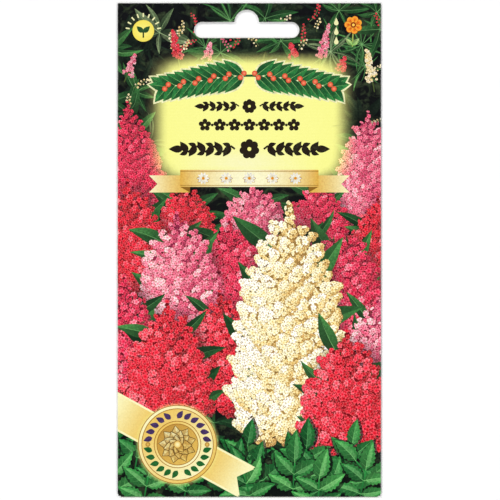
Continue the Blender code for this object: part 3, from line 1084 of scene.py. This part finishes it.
def layBack():
    ground, ink, band, trim = coloursOf(backPrint, "ground", "ink", "band", "trim")
    edge, top = hingeHalf + 1, backStart - backTop
    layBackBox(-edge, -0.5, edge, top + 1, ground)
    layBackBox(-edge, top - 17, edge, top + 1, band, mottle=0.6)
    layBackBox(-edge, top - 17.6, edge, top - 17, trim)
    for y in backPrint["rules"]:
        layBackStroke((-32, y), (32, y), backPrint["rule"], ink, opacity=0.6)
    layCalendar(ground, ink, band)
    laySigns(ink)
    for y, length in backPrint["dots"]:
        for i in range(int(length / 2.2)):
            layDisc(onBack(2.2 * i - 31, y), 0.3, ink, sides=6)


# The print ends a little way round the side folds
def layFlaps():
    for side in (-1, 1):
        start, end = side * (sideFold + 1.6), side * (bendEnd + paper["flapWidth"] + 1)
        low, high = flapLow - 1, halfHeight + 1
        layShape([(start, low), (end, low), (end, high), (start, high)], (1, 1, 1))


def blankOutline():
    end = bendEnd + paper["flapWidth"]
    cut = paper["flapChamfer"]
    right = [
        (sideFold, footFold), (sideFold, flapLow), (bendEnd, flapLow), (end, flapLow + cut),
        (end, halfHeight - cut), (bendEnd, halfHeight), (sideFold, halfHeight),
    ]
    back = [(-hingeHalf, footFold), (-hingeHalf, backTop), (hingeHalf, backTop), (hingeHalf, footFold)]
    return right + [(-x, y) for x, y in reversed(right)] + back


slot = {
    "width": 32.0,
    "height": 4.9,
    "topMargin": 5.7,
    "crown": 3.7,
    "offset": -0.8,
    "backRise": 0.25,  # the slot in the back layer sits a little higher, so its edge shows
    "steps": 20,
}


def slotOutline(rise=0.0):
    top = halfHeight - slot["topMargin"]
    end = slot["height"] / 2
    reach = slot["width"] / 2 - end
    arcs = ((reach, top - end, end, -90), (0, top, slot["crown"], 0), (-reach, top - end, end, 90))
    points = []
    for x, y, radius, first in arcs:
        points += arcOf(radius, (slot["offset"] + x, y + rise), first, first + 180, slot["steps"])
    return points


cutting = {
    "hiddenCell": 0.2,  # millimetres of the grid on which hidden shapes are found
    "sideMargin": 2.4,  # how far that grid reaches past the side folds, the foot and the top
    "footMargin": 1.2,
    "topMargin": 0.4,
    "tinyCells": 4,  # a shape smaller than this is left out only if everything round it is hidden
    "shownShare": 0.14,  # a larger one stays if this share of it shows
    "shownCells": 16,  # or as many cells as this
    "straightReach": 2.4,  # the longest edge that is made by joining others
    "straightOff": 0.004,  # how far a point may lie from that edge
    "rounds": 400,  # how often labels may be handed on
}
offPaper = -1  # the label of a triangle outside the blank
unset = -2


def insideOutline(x, y, outline):
    corners = np.array(outline)
    x0, y0 = corners[:, :1], corners[:, 1:]
    x1, y1 = np.roll(x0, -1, 0), np.roll(y0, -1, 0)
    with np.errstate(divide="ignore", invalid="ignore"):
        crosses = ((y0 > y) != (y1 > y)) & (x < (x1 - x0) * (y - y0) / (y1 - y0) + x0)
    return crosses.sum(0) % 2 == 1


# Leaves out the shapes that others hide, seen on a fine grid over the front
def dropHidden():
    cell = cutting["hiddenCell"]
    left, bottom = -sideFold - cutting["sideMargin"], footFold - cutting["footMargin"]
    columns, rows = int((-2 * left) / cell), int((halfHeight + cutting["topMargin"] - bottom) / cell)
    hidden = np.zeros((rows, columns), bool)
    kept = []
    for number in reversed(range(len(printed["outlines"]))):
        outline = np.array(printed["outlines"][number])
        low, high = outline.min(0), outline.max(0)
        if high[1] < bottom:
            kept.append(number)
            continue
        i0, i1 = max(int((low[0] - left) / cell), 0), min(int((high[0] - left) / cell) + 1, columns)
        j0, j1 = max(int((low[1] - bottom) / cell), 0), min(int((high[1] - bottom) / cell) + 1, rows)
        if i0 >= i1 or j0 >= j1:
            continue
        across, along = left + (np.arange(i0, i1) + 0.5) * cell, bottom + (np.arange(j0, j1) + 0.5) * cell
        x, y = np.meshgrid(across, along)
        mask = insideOutline(x.ravel(), y.ravel(), outline).reshape(x.shape)
        under = hidden[j0:j1, i0:i1]
        if mask.sum() < cutting["tinyCells"]:
            if under.all():
                continue
        elif (mask & ~under).sum() < min(cutting["shownShare"] * mask.sum(), cutting["shownCells"]):
            continue
        kept.append(number)
        if hidesAll(printed["inks"][number]):
            under |= mask
    kept.reverse()
    place = {number: i for i, number in enumerate(kept)}
    for name in ("outlines", "inks"):
        printed[name] = [printed[name][number] for number in kept]
    printed["spots"] = [(x, y, place[k]) for x, y, k in printed["spots"] if k in place]


def bendPlaces():
    return steps(sideFold, bendEnd, paper["bendRows"]), steps(backStart, footFold, paper["bendRows"])


def bendLines():
    across, along = bendPlaces()
    lines = [[(side * x, flapLow), (side * x, halfHeight)] for x in across for side in (-1, 1)]
    return lines + [[(-hingeHalf, y), (hingeHalf, y)] for y in along]


def addBendLines(points, edges):
    for line in bendLines():
        edges.append((len(points), len(points) + 1))
        points += line


def gridSpots(step):
    columns = range(-int(sideFold / step), int(sideFold / step) + 1)
    rows = range(-int(-footFold / step), int(halfHeight / step) + 1)
    return [(i * step + 0.013, j * step + 0.017) for i in columns for j in rows]


# The layers from the topmost one that hides all below it
def visibleLayers(layers):
    for place in range(len(layers) - 1, 0, -1):
        if hidesAll(printed["inks"][layers[place]]):
            return layers[place:]
    return layers


# Cuts the plane along all outlines at once. Gives the points, the triangles, a label for the
# print on each triangle, the layers of each label, and the spots to keep
def cutPrint(outer, holes):
    first = 1 + len(holes)
    points, polygons, edges = [], [], []
    for outline in [outer, *holes, *printed["outlines"]]:
        polygons.append(list(range(len(points), len(points) + len(outline))))
        points += outline
    addBendLines(points, edges)
    start = len(points)
    grid = gridSpots(paper["gridStep"])
    owners = [k for x, y, k in printed["spots"]] + [None] * len(grid)
    points += [(x, y) for x, y, k in printed["spots"]] + grid
    made = delaunay_2d_cdt([Vector(p) for p in points], edges, polygons, 1, 1e-5, True)
    labels, numbers = [], {}
    for cover in made[5]:
        cover = sorted(cover)
        if not cover or cover[0] != 0 or any(0 < k < first for k in cover):
            labels.append(offPaper)
            continue
        layers = tuple(visibleLayers([k - first for k in cover if k >= first]))
        labels.append(numbers.setdefault(layers, len(numbers)))
    spots = {}
    for i, sources in enumerate(made[3]):
        for source in sources:
            if source >= start:
                spots.setdefault(i, set()).add(owners[source - start])
    return np.array([tuple(p) for p in made[0]]), np.array(made[2]), np.array(labels), list(numbers), spots


# Where each wanted key stands among the keys, and whether it is there
def findKeys(keys, wanted):
    order = np.argsort(keys)
    place = order[np.minimum(np.searchsorted(keys[order], wanted), len(keys) - 1)]
    return place, keys[place] == wanted


# The three edges of each triangle, and a key for each edge, that way round and the other
def edgesOf(triangles, count):
    ends = triangles[:, [0, 1, 1, 2, 2, 0]].reshape(-1, 2).astype(np.int64)
    return ends, ends[:, 0] * count + ends[:, 1], ends[:, 1] * count + ends[:, 0]


# The edges between areas with different prints, and those along the bends, with the label on
# their left for each way round
def partEdges(points, triangles, labels):
    ends, keys, back = edgesOf(triangles, len(points))
    left = np.repeat(labels, 3)
    place, isPaired = findKeys(keys, back)
    right = np.where(isPaired, left[place], offPaper)
    a, b = points[ends[:, 0]], points[ends[:, 1]]
    wanted = left != right
    for axis, places in enumerate(bendPlaces()):
        for value in places:
            near = np.abs(np.abs(a[:, axis]) - abs(value)) < 1e-6
            wanted |= near & (np.abs(a[:, axis] - b[:, axis]) < 1e-6) & (left >= 0)
    sides = {}
    for (p, q), one, other in zip(ends[wanted].tolist(), left[wanted].tolist(), right[wanted].tolist()):
        sides[(p, q)] = one
        sides[(q, p)] = other
    return sides


# Joins edges that follow one another in a straight line
def straighten(points, sides):
    near = {}
    for p, q in sides:
        near.setdefault(p, set()).add(q)
    xy = points.tolist()
    for v in list(near):
        if len(near[v]) != 2:
            continue
        p, q = near[v]
        dx, dy = xy[q][0] - xy[p][0], xy[q][1] - xy[p][1]
        length = math.hypot(dx, dy)
        away = abs((xy[v][0] - xy[p][0]) * dy - (xy[v][1] - xy[p][1]) * dx) / max(length, 1e-9)
        same = sides[(p, v)] == sides[(v, q)] and sides[(q, v)] == sides[(v, p)]
        if length > cutting["straightReach"] or away > cutting["straightOff"] or not same or q in near[p]:
            continue
        sides[(p, q)], sides[(q, p)] = sides[(p, v)], sides[(q, v)]
        for end, other in ((p, q), (q, p)):
            del sides[(end, v)], sides[(v, end)]
            near[end].remove(v)
            near[end].add(other)
        del near[v]
    return sides


# Cuts the plane again, along the edges that can be seen alone
def recut(points, triangles, labels, layersOf, spots):
    sides = straighten(points, partEdges(points, triangles, labels))
    used = sorted({p for pair in sides for p in pair})
    onLine = set(used)
    labelAt = np.full(len(points), offPaper)
    labelAt[triangles.ravel()] = np.repeat(labels, 3)
    for v, owners in spots.items():
        label = labelAt[v]
        if v not in onLine and label >= 0 and any(k is None or k in layersOf[label] for k in owners):
            used.append(v)
    number = {v: i for i, v in enumerate(used)}
    edges = [pair for pair in sides if pair[0] < pair[1]]
    made = delaunay_2d_cdt(
        [Vector(points[v]) for v in used], [(number[p], number[q]) for p, q in edges], [], 1, 1e-6, True)
    newPoints = np.array([tuple(p) for p in made[0]])
    newTriangles = np.array(made[2])
    known = {}
    for (a, b), sources in zip(made[1], made[4]):
        if not sources or sources[0] >= len(edges):
            continue
        p, q = edges[sources[0]]
        if (newPoints[b] - newPoints[a]) @ (points[q] - points[p]) < 0:
            p, q = q, p
        known[(a, b)], known[(b, a)] = sides[(p, q)], sides[(q, p)]
    return newPoints, newTriangles, spreadLabels(newTriangles, known, len(newPoints))


# Hands each triangle the label beside its known edges, or else its neighbour's
def spreadLabels(triangles, known, count):
    values = np.array(list(known.values()))
    _, keys, back = edgesOf(triangles, count)
    place, isKnown = findKeys(np.array([a * count + b for a, b in known], np.int64), keys)
    labels = np.where(isKnown, values[place], unset).reshape(-1, 3).max(1)
    place, isPaired = findKeys(keys, back)
    neighbour = np.where(isPaired & ~isKnown, place // 3, -1).reshape(-1, 3)
    for _ in range(cutting["rounds"]):
        lost = np.nonzero(labels == unset)[0]
        offered = np.where(neighbour[lost] >= 0, labels[neighbour[lost]], unset).max(1)
        if not len(lost) or (offered == unset).all():
            break
        labels[lost] = offered
    print("unlabelled triangles:", int((labels == unset).sum()))
    return np.where(labels == unset, offPaper, labels)


# Lays the shapes over white paper, layer by layer, at the corners of each triangle
def printColours(points, faces, covers):
    inks = np.array(printed["inks"])
    x, y = points[faces][:, :, 0], points[faces][:, :, 1]
    colours = np.ones((len(faces), 3, 5))
    colours[:, :, 3:] = 0
    table = np.full((len(faces), max(map(len, covers))), -1)
    for i, cover in enumerate(covers):
        table[i, :len(cover)] = cover
    for layer in range(table.shape[1]):
        rows = np.nonzero(table[:, layer] >= 0)[0]
        found, cover = inkAt(inks[table[rows, layer]], x[rows], y[rows])
        colours[rows] += (found - colours[rows]) * cover[:, :, None]
    petals = petalAt(inks[table[:, 0]], x, y) * (table[:, :1] >= 0)[:, :, None]
    return np.clip(colours, 0, 1), petals


# The unprinted face: the same rim, and few points inside it
def cutInside(points, rim, outer, holes):
    rimPoints = sorted({a for a, b in rim})
    number = {p: i for i, p in enumerate(rimPoints)}
    flat = [tuple(points[p]) for p in rimPoints]
    edges = [(number[a], number[b]) for a, b in rim]
    addBendLines(flat, edges)
    flat += gridSpots(paper["insideStep"])
    made = delaunay_2d_cdt([Vector(p) for p in flat], edges, [], 1, 1e-5, True)
    inside = np.array([tuple(p) for p in made[0]])
    partner = {}
    for i, sources in enumerate(made[3]):
        for source in sources:
            if source < len(rimPoints):
                partner[rimPoints[source]] = i
    triangles = np.array(made[2])
    middles = inside[triangles].mean(1)
    within = insideOutline(middles[:, 0], middles[:, 1], outer)
    for hole in holes:
        within &= ~insideOutline(middles[:, 0], middles[:, 1], hole)
    return inside, triangles[within], partner


def addCorners(mesh, name, kind, field, values):
    mesh.attributes.new(name, kind, "CORNER").data.foreach_set(field, values.astype(np.float32).ravel())


# Gives the printed faces their colours, and the others plain values
def dressEnvelope(mesh, points, faces, covers):
    colours, petals = printColours(points, faces, covers)
    count = len(mesh.polygons)
    shapes = ((4, 1.0), (4, 0.0), (3, 0.0))
    ink, detail, petal = (np.full((count, 3, width), value) for width, value in shapes)
    ink[:len(faces), :, :3] = toLinear(colours[:, :, :3]) * printLook["inkShare"]
    detail[:len(faces), :, :2] = colours[:, :, 3:]
    petal[:len(faces)] = petals
    addCorners(mesh, "ink", "FLOAT_COLOR", "color", ink)
    addCorners(mesh, "detail", "FLOAT_COLOR", "color", detail)
    addCorners(mesh, "petal", "FLOAT_VECTOR", "vector", petal)
    mesh.materials.append(printedFace())
    mesh.materials.append(bareSheet())
    mesh.polygons.foreach_set("material_index", (np.arange(count) >= len(faces)).astype(np.int32))
    mesh.update()


def buildEnvelope():
    outer = blankOutline()
    behind = [(x, backStart - (y - footFold)) for x, y in reversed(slotOutline(slot["backRise"]))]
    holes = [slotOutline(), behind]
    points, triangles, labels, layersOf, spots = cutPrint(outer, holes)
    print("first cut:", len(points), "points,", len(triangles), "triangles")
    points, triangles, labels = recut(points, triangles, labels, layersOf, spots)
    faces = triangles[labels >= 0]
    covers = [layersOf[k] for k in labels[labels >= 0]]
    print("second cut:", len(points), "points,", len(faces), "triangles,", max(map(len, covers)), "layers")

    forward = {(a, b) for a, b in faces[:, [0, 1, 1, 2, 2, 0]].reshape(-1, 2).tolist()}
    rim = sorted((a, b) for a, b in forward if (b, a) not in forward)
    inside, inFaces, partner = cutInside(points, rim, outer, holes)
    half = paper["thickness"] / 2
    outPlaces, outFacing = foldBlank(points[:, 0], points[:, 1], half)
    inPlaces, inFacing = foldBlank(inside[:, 0], inside[:, 1], -half)
    shift = len(outPlaces)
    rimFaces = []
    for a, b in rim:
        c, d = partner[b] + shift, partner[a] + shift
        rimFaces += [(b, a, d), (b, d, c)]
    allFaces = np.concatenate([faces, inFaces[:, ::-1] + shift, np.array(rimFaces)])
    places = np.concatenate([outPlaces, inPlaces])
    used, renumbered = np.unique(allFaces, return_inverse=True)
    mesh = bpy.data.meshes.new("printedEnvelope")
    mesh.from_pydata(places[used].tolist(), [], renumbered.reshape(-1, 3).tolist())

    corners = places[allFaces[-len(rimFaces):]]
    flat = np.cross(corners[:, 1] - corners[:, 0], corners[:, 2] - corners[:, 0])
    flat /= np.maximum(np.linalg.norm(flat, axis=1), 1e-12)[:, None]
    facings = np.concatenate([outFacing, -inFacing])[allFaces]
    facings[-len(rimFaces):] = flat[:, None, :]
    mesh.shade_smooth()
    mesh.normals_split_custom_set(facings.reshape(-1, 3).tolist())
    dressEnvelope(mesh, points, faces, covers)
    piece = bpy.data.objects.new("printedEnvelope", mesh)
    bpy.context.scene.collection.objects.link(piece)
    print("envelope:", len(mesh.vertices), "points,", len(mesh.polygons), "triangles")
    return piece


# A material whose nodes are added one by one. A value is a number, a colour or a node's output
class Finish:
    def __init__(self, name):
        self.material = bpy.data.materials.new(name)
        self.material.use_nodes = True
        self.shader = self.material.node_tree.nodes["Principled BSDF"]
        self.place = self.add("TexCoord").outputs["Object"]

    def fill(self, socket, value):
        if isinstance(value, bpy.types.NodeSocket):
            self.material.node_tree.links.new(value, socket)
        else:
            socket.default_value = value

    def set(self, name, value):
        self.fill(self.shader.inputs[name], value)

    def add(self, kind, inputs=(), **settings):
        node = self.material.node_tree.nodes.new("ShaderNode" + kind)
        for name, value in settings.items():
            setattr(node, name, value)
        for name, value in dict(inputs).items():
            self.fill(node.inputs[name], value)
        return node

    def noise(self, scale, detail=2.0, roughness=0.5, distortion=0.0):
        inputs = {"Vector": self.place, "Scale": scale, "Detail": detail, "Roughness": roughness}
        return self.add("TexNoise", {**inputs, "Distortion": distortion}).outputs["Fac"]

    def cells(self, scale, output="Distance", feature="F1"):
        inputs = {"Vector": self.place, "Scale": scale}
        return self.add("TexVoronoi", inputs, feature=feature).outputs[output]

    def mix(self, share, one, other, blend="MIX"):
        return self.add("Mix", {0: share, 6: one, 7: other}, data_type="RGBA", blend_type=blend).outputs[2]

    def maths(self, operation, *values):
        return self.add("Math", dict(enumerate(values)), operation=operation).outputs[0]

    def times(self, first, *others):
        for value in others:
            first = self.maths("MULTIPLY", first, value)
        return first

    def ranged(self, value, fromLow, fromHigh, toLow=0.0, toHigh=1.0):
        ends = {"From Min": fromLow, "From Max": fromHigh, "To Min": toLow, "To Max": toHigh}
        return self.add("MapRange", {"Value": value, **ends}).outputs["Result"]

    def bump(self, height, strength, distance, **more):
        inputs = {"Height": height, "Strength": strength, "Distance": distance, **more}
        return self.add("Bump", inputs).outputs["Normal"]

    def between(self, pattern, tints):
        return self.mix(self.ranged(pattern, 0.35, 0.65), *tints)

    def dress(self, colour, pattern, roughness, height, strength, distance):
        self.set("Base Color", colour)
        self.set("Roughness", self.ranged(pattern, 0.3, 0.7, *roughness))
        self.set("Normal", self.bump(height, strength, distance))
        return self.material


printLook = {
    "inkShare": 0.9,  # white paper gives back no more light than this
    "roughness": 0.25,
    "gloss": 0.25,
    "grain": 0.08,
    "grainScale": 2600,
    "speckScale": 1500,
    "mottleScale": 190,
    "leafy": (0.085, 0.13, 0.055, 1),
    "gap": (0.002, 0.004, 0.004, 1),
    "toothScale": 5200,
    "rippleScale": 55,
    "petalGap": 0.92,  # how dark the gaps between petals are
    "deepGap": (0.3, 0.19, 0.08, 1),  # their tint between deep petals, and between pale ones
    "paleGap": (0.6, 0.43, 0.2, 1),
    "petalShine": 0.07,
    "eye": (0.5, 0.3, 0.1, 1),
    "screen": 0.012,  # faint rows of the printing screen
    "screenPitch": 0.95,
    "wear": 0.15,
    "wearScale": 420,
    "worn": (0.86, 0.85, 0.8, 1),
}


# Leafy patches and dark gaps, far behind
def withMottle(finish, colour, share):
    broad = finish.noise(printLook["mottleScale"], 5.0, 0.6, 1.2)
    colour = finish.mix(finish.times(finish.ranged(broad, 0.5, 0.72), share), colour, printLook["leafy"])
    return finish.mix(finish.times(finish.ranged(broad, 0.5, 0.3), share), colour, printLook["gap"])


# Petals, drawn from each point's place on its floret
def withPetals(finish, colour):
    petal = finish.add("Attribute", attribute_name="petal").outputs["Vector"]
    x, y, count = finish.add("SeparateXYZ", {"Vector": petal}).outputs
    flat = finish.add("CombineXYZ", {"X": x, "Y": y}).outputs[0]
    reach = finish.add("VectorMath", {0: flat}, operation="LENGTH").outputs["Value"]
    angle = finish.times(finish.maths("ARCTAN2", y, x), finish.times(count, 0.5))
    lobes = finish.maths("ABSOLUTE", finish.maths("COSINE", angle))
    tip = finish.maths("MULTIPLY_ADD", finish.maths("POWER", lobes, 0.55), 0.58, 0.4)
    inside = finish.ranged(finish.maths("SUBTRACT", tip, reach), -0.06, 0.1)
    drawn = finish.ranged(count, 0.0, 1.0)
    gap = finish.times(finish.maths("SUBTRACT", 1.0, inside), drawn)
    pale = finish.ranged(finish.add("SeparateColor", {"Color": colour}).outputs[1], 0.3, 0.8)
    tint = finish.mix(pale, printLook["deepGap"], printLook["paleGap"])
    colour = finish.mix(finish.times(gap, printLook["petalGap"]), colour, tint, "MULTIPLY")
    edges = finish.ranged(reach, 0.3, 0.85)
    shine = finish.times(finish.times(inside, drawn), edges, printLook["petalShine"])
    colour = finish.mix(shine, colour, (1, 0.92, 0.9, 1))
    colour = finish.mix(finish.times(inside, drawn), colour, (1.3, 1.3, 1.3, 1), "MULTIPLY")
    eye = finish.times(finish.ranged(reach, 0.24, 0.1), drawn, 0.6)
    return finish.mix(eye, colour, printLook["eye"], "MULTIPLY")


# Fine light dots with dark gaps between them
def withSpecks(finish, colour, share):
    cells = finish.cells(printLook["speckScale"])
    dots = finish.times(finish.ranged(cells, 0.42, 0.1), share, 0.6)
    colour = finish.mix(dots, colour, (1, 0.95, 0.88, 1), "SOFT_LIGHT")
    gaps = finish.times(finish.ranged(cells, 0.42, 0.8), share, 0.9)
    return finish.mix(gaps, colour, (0, 0, 0, 1), "MULTIPLY")


def withGrain(finish, height, colour, share):
    grain = finish.noise(printLook["grainScale"], roughness=0.6)
    amount = finish.maths("MULTIPLY_ADD", share, 0.6, printLook["grain"])
    colour = finish.mix(amount, colour, finish.ranged(grain, 0.3, 0.7), "OVERLAY")
    rows = finish.maths("SINE", finish.times(height, fullTurn / (printLook["screenPitch"] * mm)))
    screen = finish.maths("MULTIPLY_ADD", rows, printLook["screen"] / 2, printLook["screen"] / 2)
    return finish.mix(screen, colour, (0, 0, 0, 1))


def printedFace():
    finish = Finish("printedPaper")
    finish.set("Specular IOR Level", printLook["gloss"])
    x, y, _ = finish.add("SeparateXYZ", {"Vector": finish.place}).outputs
    ink, detail = (finish.add("VertexColor", layer_name=name).outputs["Color"] for name in ("ink", "detail"))
    speckShare, mottleShare, _ = finish.add("SeparateColor", {"Color": detail}).outputs
    colour = withMottle(finish, ink, mottleShare)
    colour = withPetals(finish, colour)
    colour = withSpecks(finish, colour, speckShare)
    colour = withGrain(finish, y, colour, speckShare)

    side = finish.ranged(finish.maths("ABSOLUTE", x), (halfWidth - 0.35) * mm, (halfWidth - 0.02) * mm)
    foot = finish.ranged(y, (0.3 - halfHeight) * mm, (0.02 - halfHeight) * mm)
    rubbed = finish.noise(printLook["wearScale"], 4.0, 0.7)
    patches = finish.ranged(rubbed, 0.42, 0.6)
    wear = finish.times(finish.maths("MAXIMUM", side, foot), patches, printLook["wear"])
    finish.set("Base Color", finish.mix(wear, colour, printLook["worn"]))

    gloss = finish.ranged(rubbed, 0.3, 0.7, printLook["roughness"] - 0.05, printLook["roughness"] + 0.07)
    finish.set("Roughness", finish.maths("MULTIPLY_ADD", wear, 0.4, gloss))
    tooth = finish.bump(finish.noise(printLook["toothScale"], 3.0), 0.06, 0.00002)
    finish.set("Normal", finish.bump(finish.noise(printLook["rippleScale"]), 0.25, 0.0004, Normal=tooth))
    return finish.material


sheetLook = {
    "tints": [(0.80, 0.79, 0.75, 1), (0.88, 0.87, 0.84, 1)],
    "fibre": (0.66, 0.64, 0.58, 1),
    "roughness": (0.78, 0.92),
}


def bareSheet():
    finish = Finish("barePaper")
    fibres, clouds = finish.noise(900, 6.0, 0.7, 0.6), finish.noise(130, 3.0)
    warm = finish.between(clouds, sheetLook["tints"])
    colour = finish.mix(finish.ranged(fibres, 0.55, 0.8, 0, 0.5), warm, sheetLook["fibre"])
    return finish.dress(colour, fibres, sheetLook["roughness"], fibres, 0.3, 0.00003)


glueLook = {"tints": [(0.62, 0.44, 0.17, 1), (0.80, 0.66, 0.36, 1)], "roughness": (0.32, 0.5)}
sachetLook = {"tints": [(0.72, 0.70, 0.60, 1), (0.84, 0.82, 0.73, 1)], "roughness": (0.26, 0.4)}
seedLook = {
    "tints": [(0.13, 0.055, 0.022, 1), (0.36, 0.20, 0.09, 1)],
    "husk": (0.06, 0.025, 0.012, 1),
    "roughness": (0.45, 0.7),
}


def glueFinish():
    finish = Finish("hotMeltGlue")
    swirl = finish.noise(260, 4.0, distortion=0.8)
    colour = finish.between(swirl, glueLook["tints"])
    return finish.dress(colour, swirl, glueLook["roughness"], swirl, 0.4, 0.00005)


def sachetFinish():
    finish = Finish("glassine")
    clouds = finish.noise(320, 5.0, 0.65)
    creases = finish.ranged(finish.cells(90, feature="DISTANCE_TO_EDGE"), 0, 0.12)
    colour = finish.between(clouds, sachetLook["tints"])
    return finish.dress(colour, clouds, sachetLook["roughness"], creases, 0.3, 0.0001)


def seedFinish():
    finish = Finish("seedHusk")
    husk = finish.noise(2200, 3.0)
    each = finish.add("SeparateColor", {"Color": finish.cells(900, "Color")}).outputs[0]
    colour = finish.mix(each, *seedLook["tints"])
    colour = finish.mix(finish.ranged(husk, 0.45, 0.7, 0, 0.6), colour, seedLook["husk"])
    return finish.dress(colour, husk, seedLook["roughness"], husk, 0.5, 0.00006)


def dressInside():
    finishes = {"inner_sachet": sachetFinish(), "seeds": seedFinish()}
    finishes |= dict.fromkeys(("side_glue_left", "side_glue_right", "header_glue"), glueFinish())
    for name, finish in finishes.items():
        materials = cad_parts[name].data.materials
        materials.clear()
        materials.append(finish)
    print("inner pieces dressed")


studio = {
    "floor": 0.9,
    "floorReach": 3.0,  # metres
    "floorLevel": -0.03,  # a hair under the paper, so that the two never share a plane
    "lens": 150,
    "viewWidth": 151.87,  # millimetres of the packet's plane across the picture
    "aim": (0.2, 0.04),
    "lights": [(128, 1.62), (45, 0.98), (225, 0.98), (315, 0.78)],  # azimuth, strength
    "lightHeight": 46,  # degrees above the floor
    "lightSpread": 30,
    "world": 0.15,
    "backdrop": 0.97,
}


def buildFloor():
    mesh = bpy.data.meshes.new("floor")
    reach, level = studio["floorReach"], studio["floorLevel"] * mm
    corners = [(x * reach, y * reach, level) for x, y in ((-1, -1), (1, -1), (1, 1), (-1, 1))]
    mesh.from_pydata(corners, [], [(0, 1, 2, 3)])
    floor = bpy.data.objects.new("floor", mesh)
    bpy.context.scene.collection.objects.link(floor)
    finish = Finish("floor")
    tints = [(shade, shade, shade, 1) for shade in (studio["floor"], studio["floor"] * 0.99)]
    finish.set("Base Color", finish.mix(finish.noise(3.0), *tints))
    finish.set("Roughness", 0.8)
    finish.set("Specular IOR Level", 0.1)
    mesh.materials.append(finish.material)


def buildLights():
    for azimuth, strength in studio["lights"]:
        light = bpy.data.lights.new("softLight", "SUN")
        light.energy = strength
        light.angle = math.radians(studio["lightSpread"])
        lamp = bpy.data.objects.new("softLight", light)
        a, e = math.radians(azimuth), math.radians(studio["lightHeight"])
        lamp.location = Vector((math.cos(a) * math.cos(e), math.sin(a) * math.cos(e), math.sin(e)))
        lamp.rotation_euler = (-lamp.location).to_track_quat("-Z", "Y").to_euler()
        bpy.context.scene.collection.objects.link(lamp)


# White all round, brighter to the eye than it shines on the packet
def buildWorld():
    world = bpy.data.worlds.new("studio")
    world.use_nodes = True
    nodes, link = world.node_tree.nodes, world.node_tree.links.new
    background = nodes["Background"]
    background.inputs["Color"].default_value = (1, 1, 1, 1)
    strength = nodes.new("ShaderNodeMapRange")
    strength.inputs["To Min"].default_value = studio["world"]
    strength.inputs["To Max"].default_value = studio["backdrop"]
    link(nodes.new("ShaderNodeLightPath").outputs["Is Camera Ray"], strength.inputs["Value"])
    link(strength.outputs["Result"], background.inputs["Strength"])
    bpy.context.scene.world = world


def buildCamera():
    scene = bpy.context.scene
    camera = bpy.data.cameras.new("camera")
    camera.lens = studio["lens"]
    eye = bpy.data.objects.new("camera", camera)
    x, y = studio["aim"]
    distance = studio["viewWidth"] * mm * camera.lens / camera.sensor_width
    eye.location = (x * mm, y * mm, frontLevel * mm + distance)
    scene.collection.objects.link(eye)
    scene.camera = eye
    scene.view_settings.view_transform = "Standard"
    print("studio built")


layGround()
layTufts()
laySprigs()
laySprays()
layHeads("back", 20)
layStalks()
layHeads("middle", 40)
layHeads("front", 60)
layPanel()
layLowLeaves()
laySeal()
layRibbon()
layGarland()
layTitle()
layBadges()
layFlaps()
layBack()
print("shapes laid:", len(printed["outlines"]))
dropHidden()
print("shapes kept:", len(printed["outlines"]))
envelope = buildEnvelope()
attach(envelope, "root")
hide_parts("envelope")
dressInside()
buildFloor()
buildLights()
buildWorld()
buildCamera()
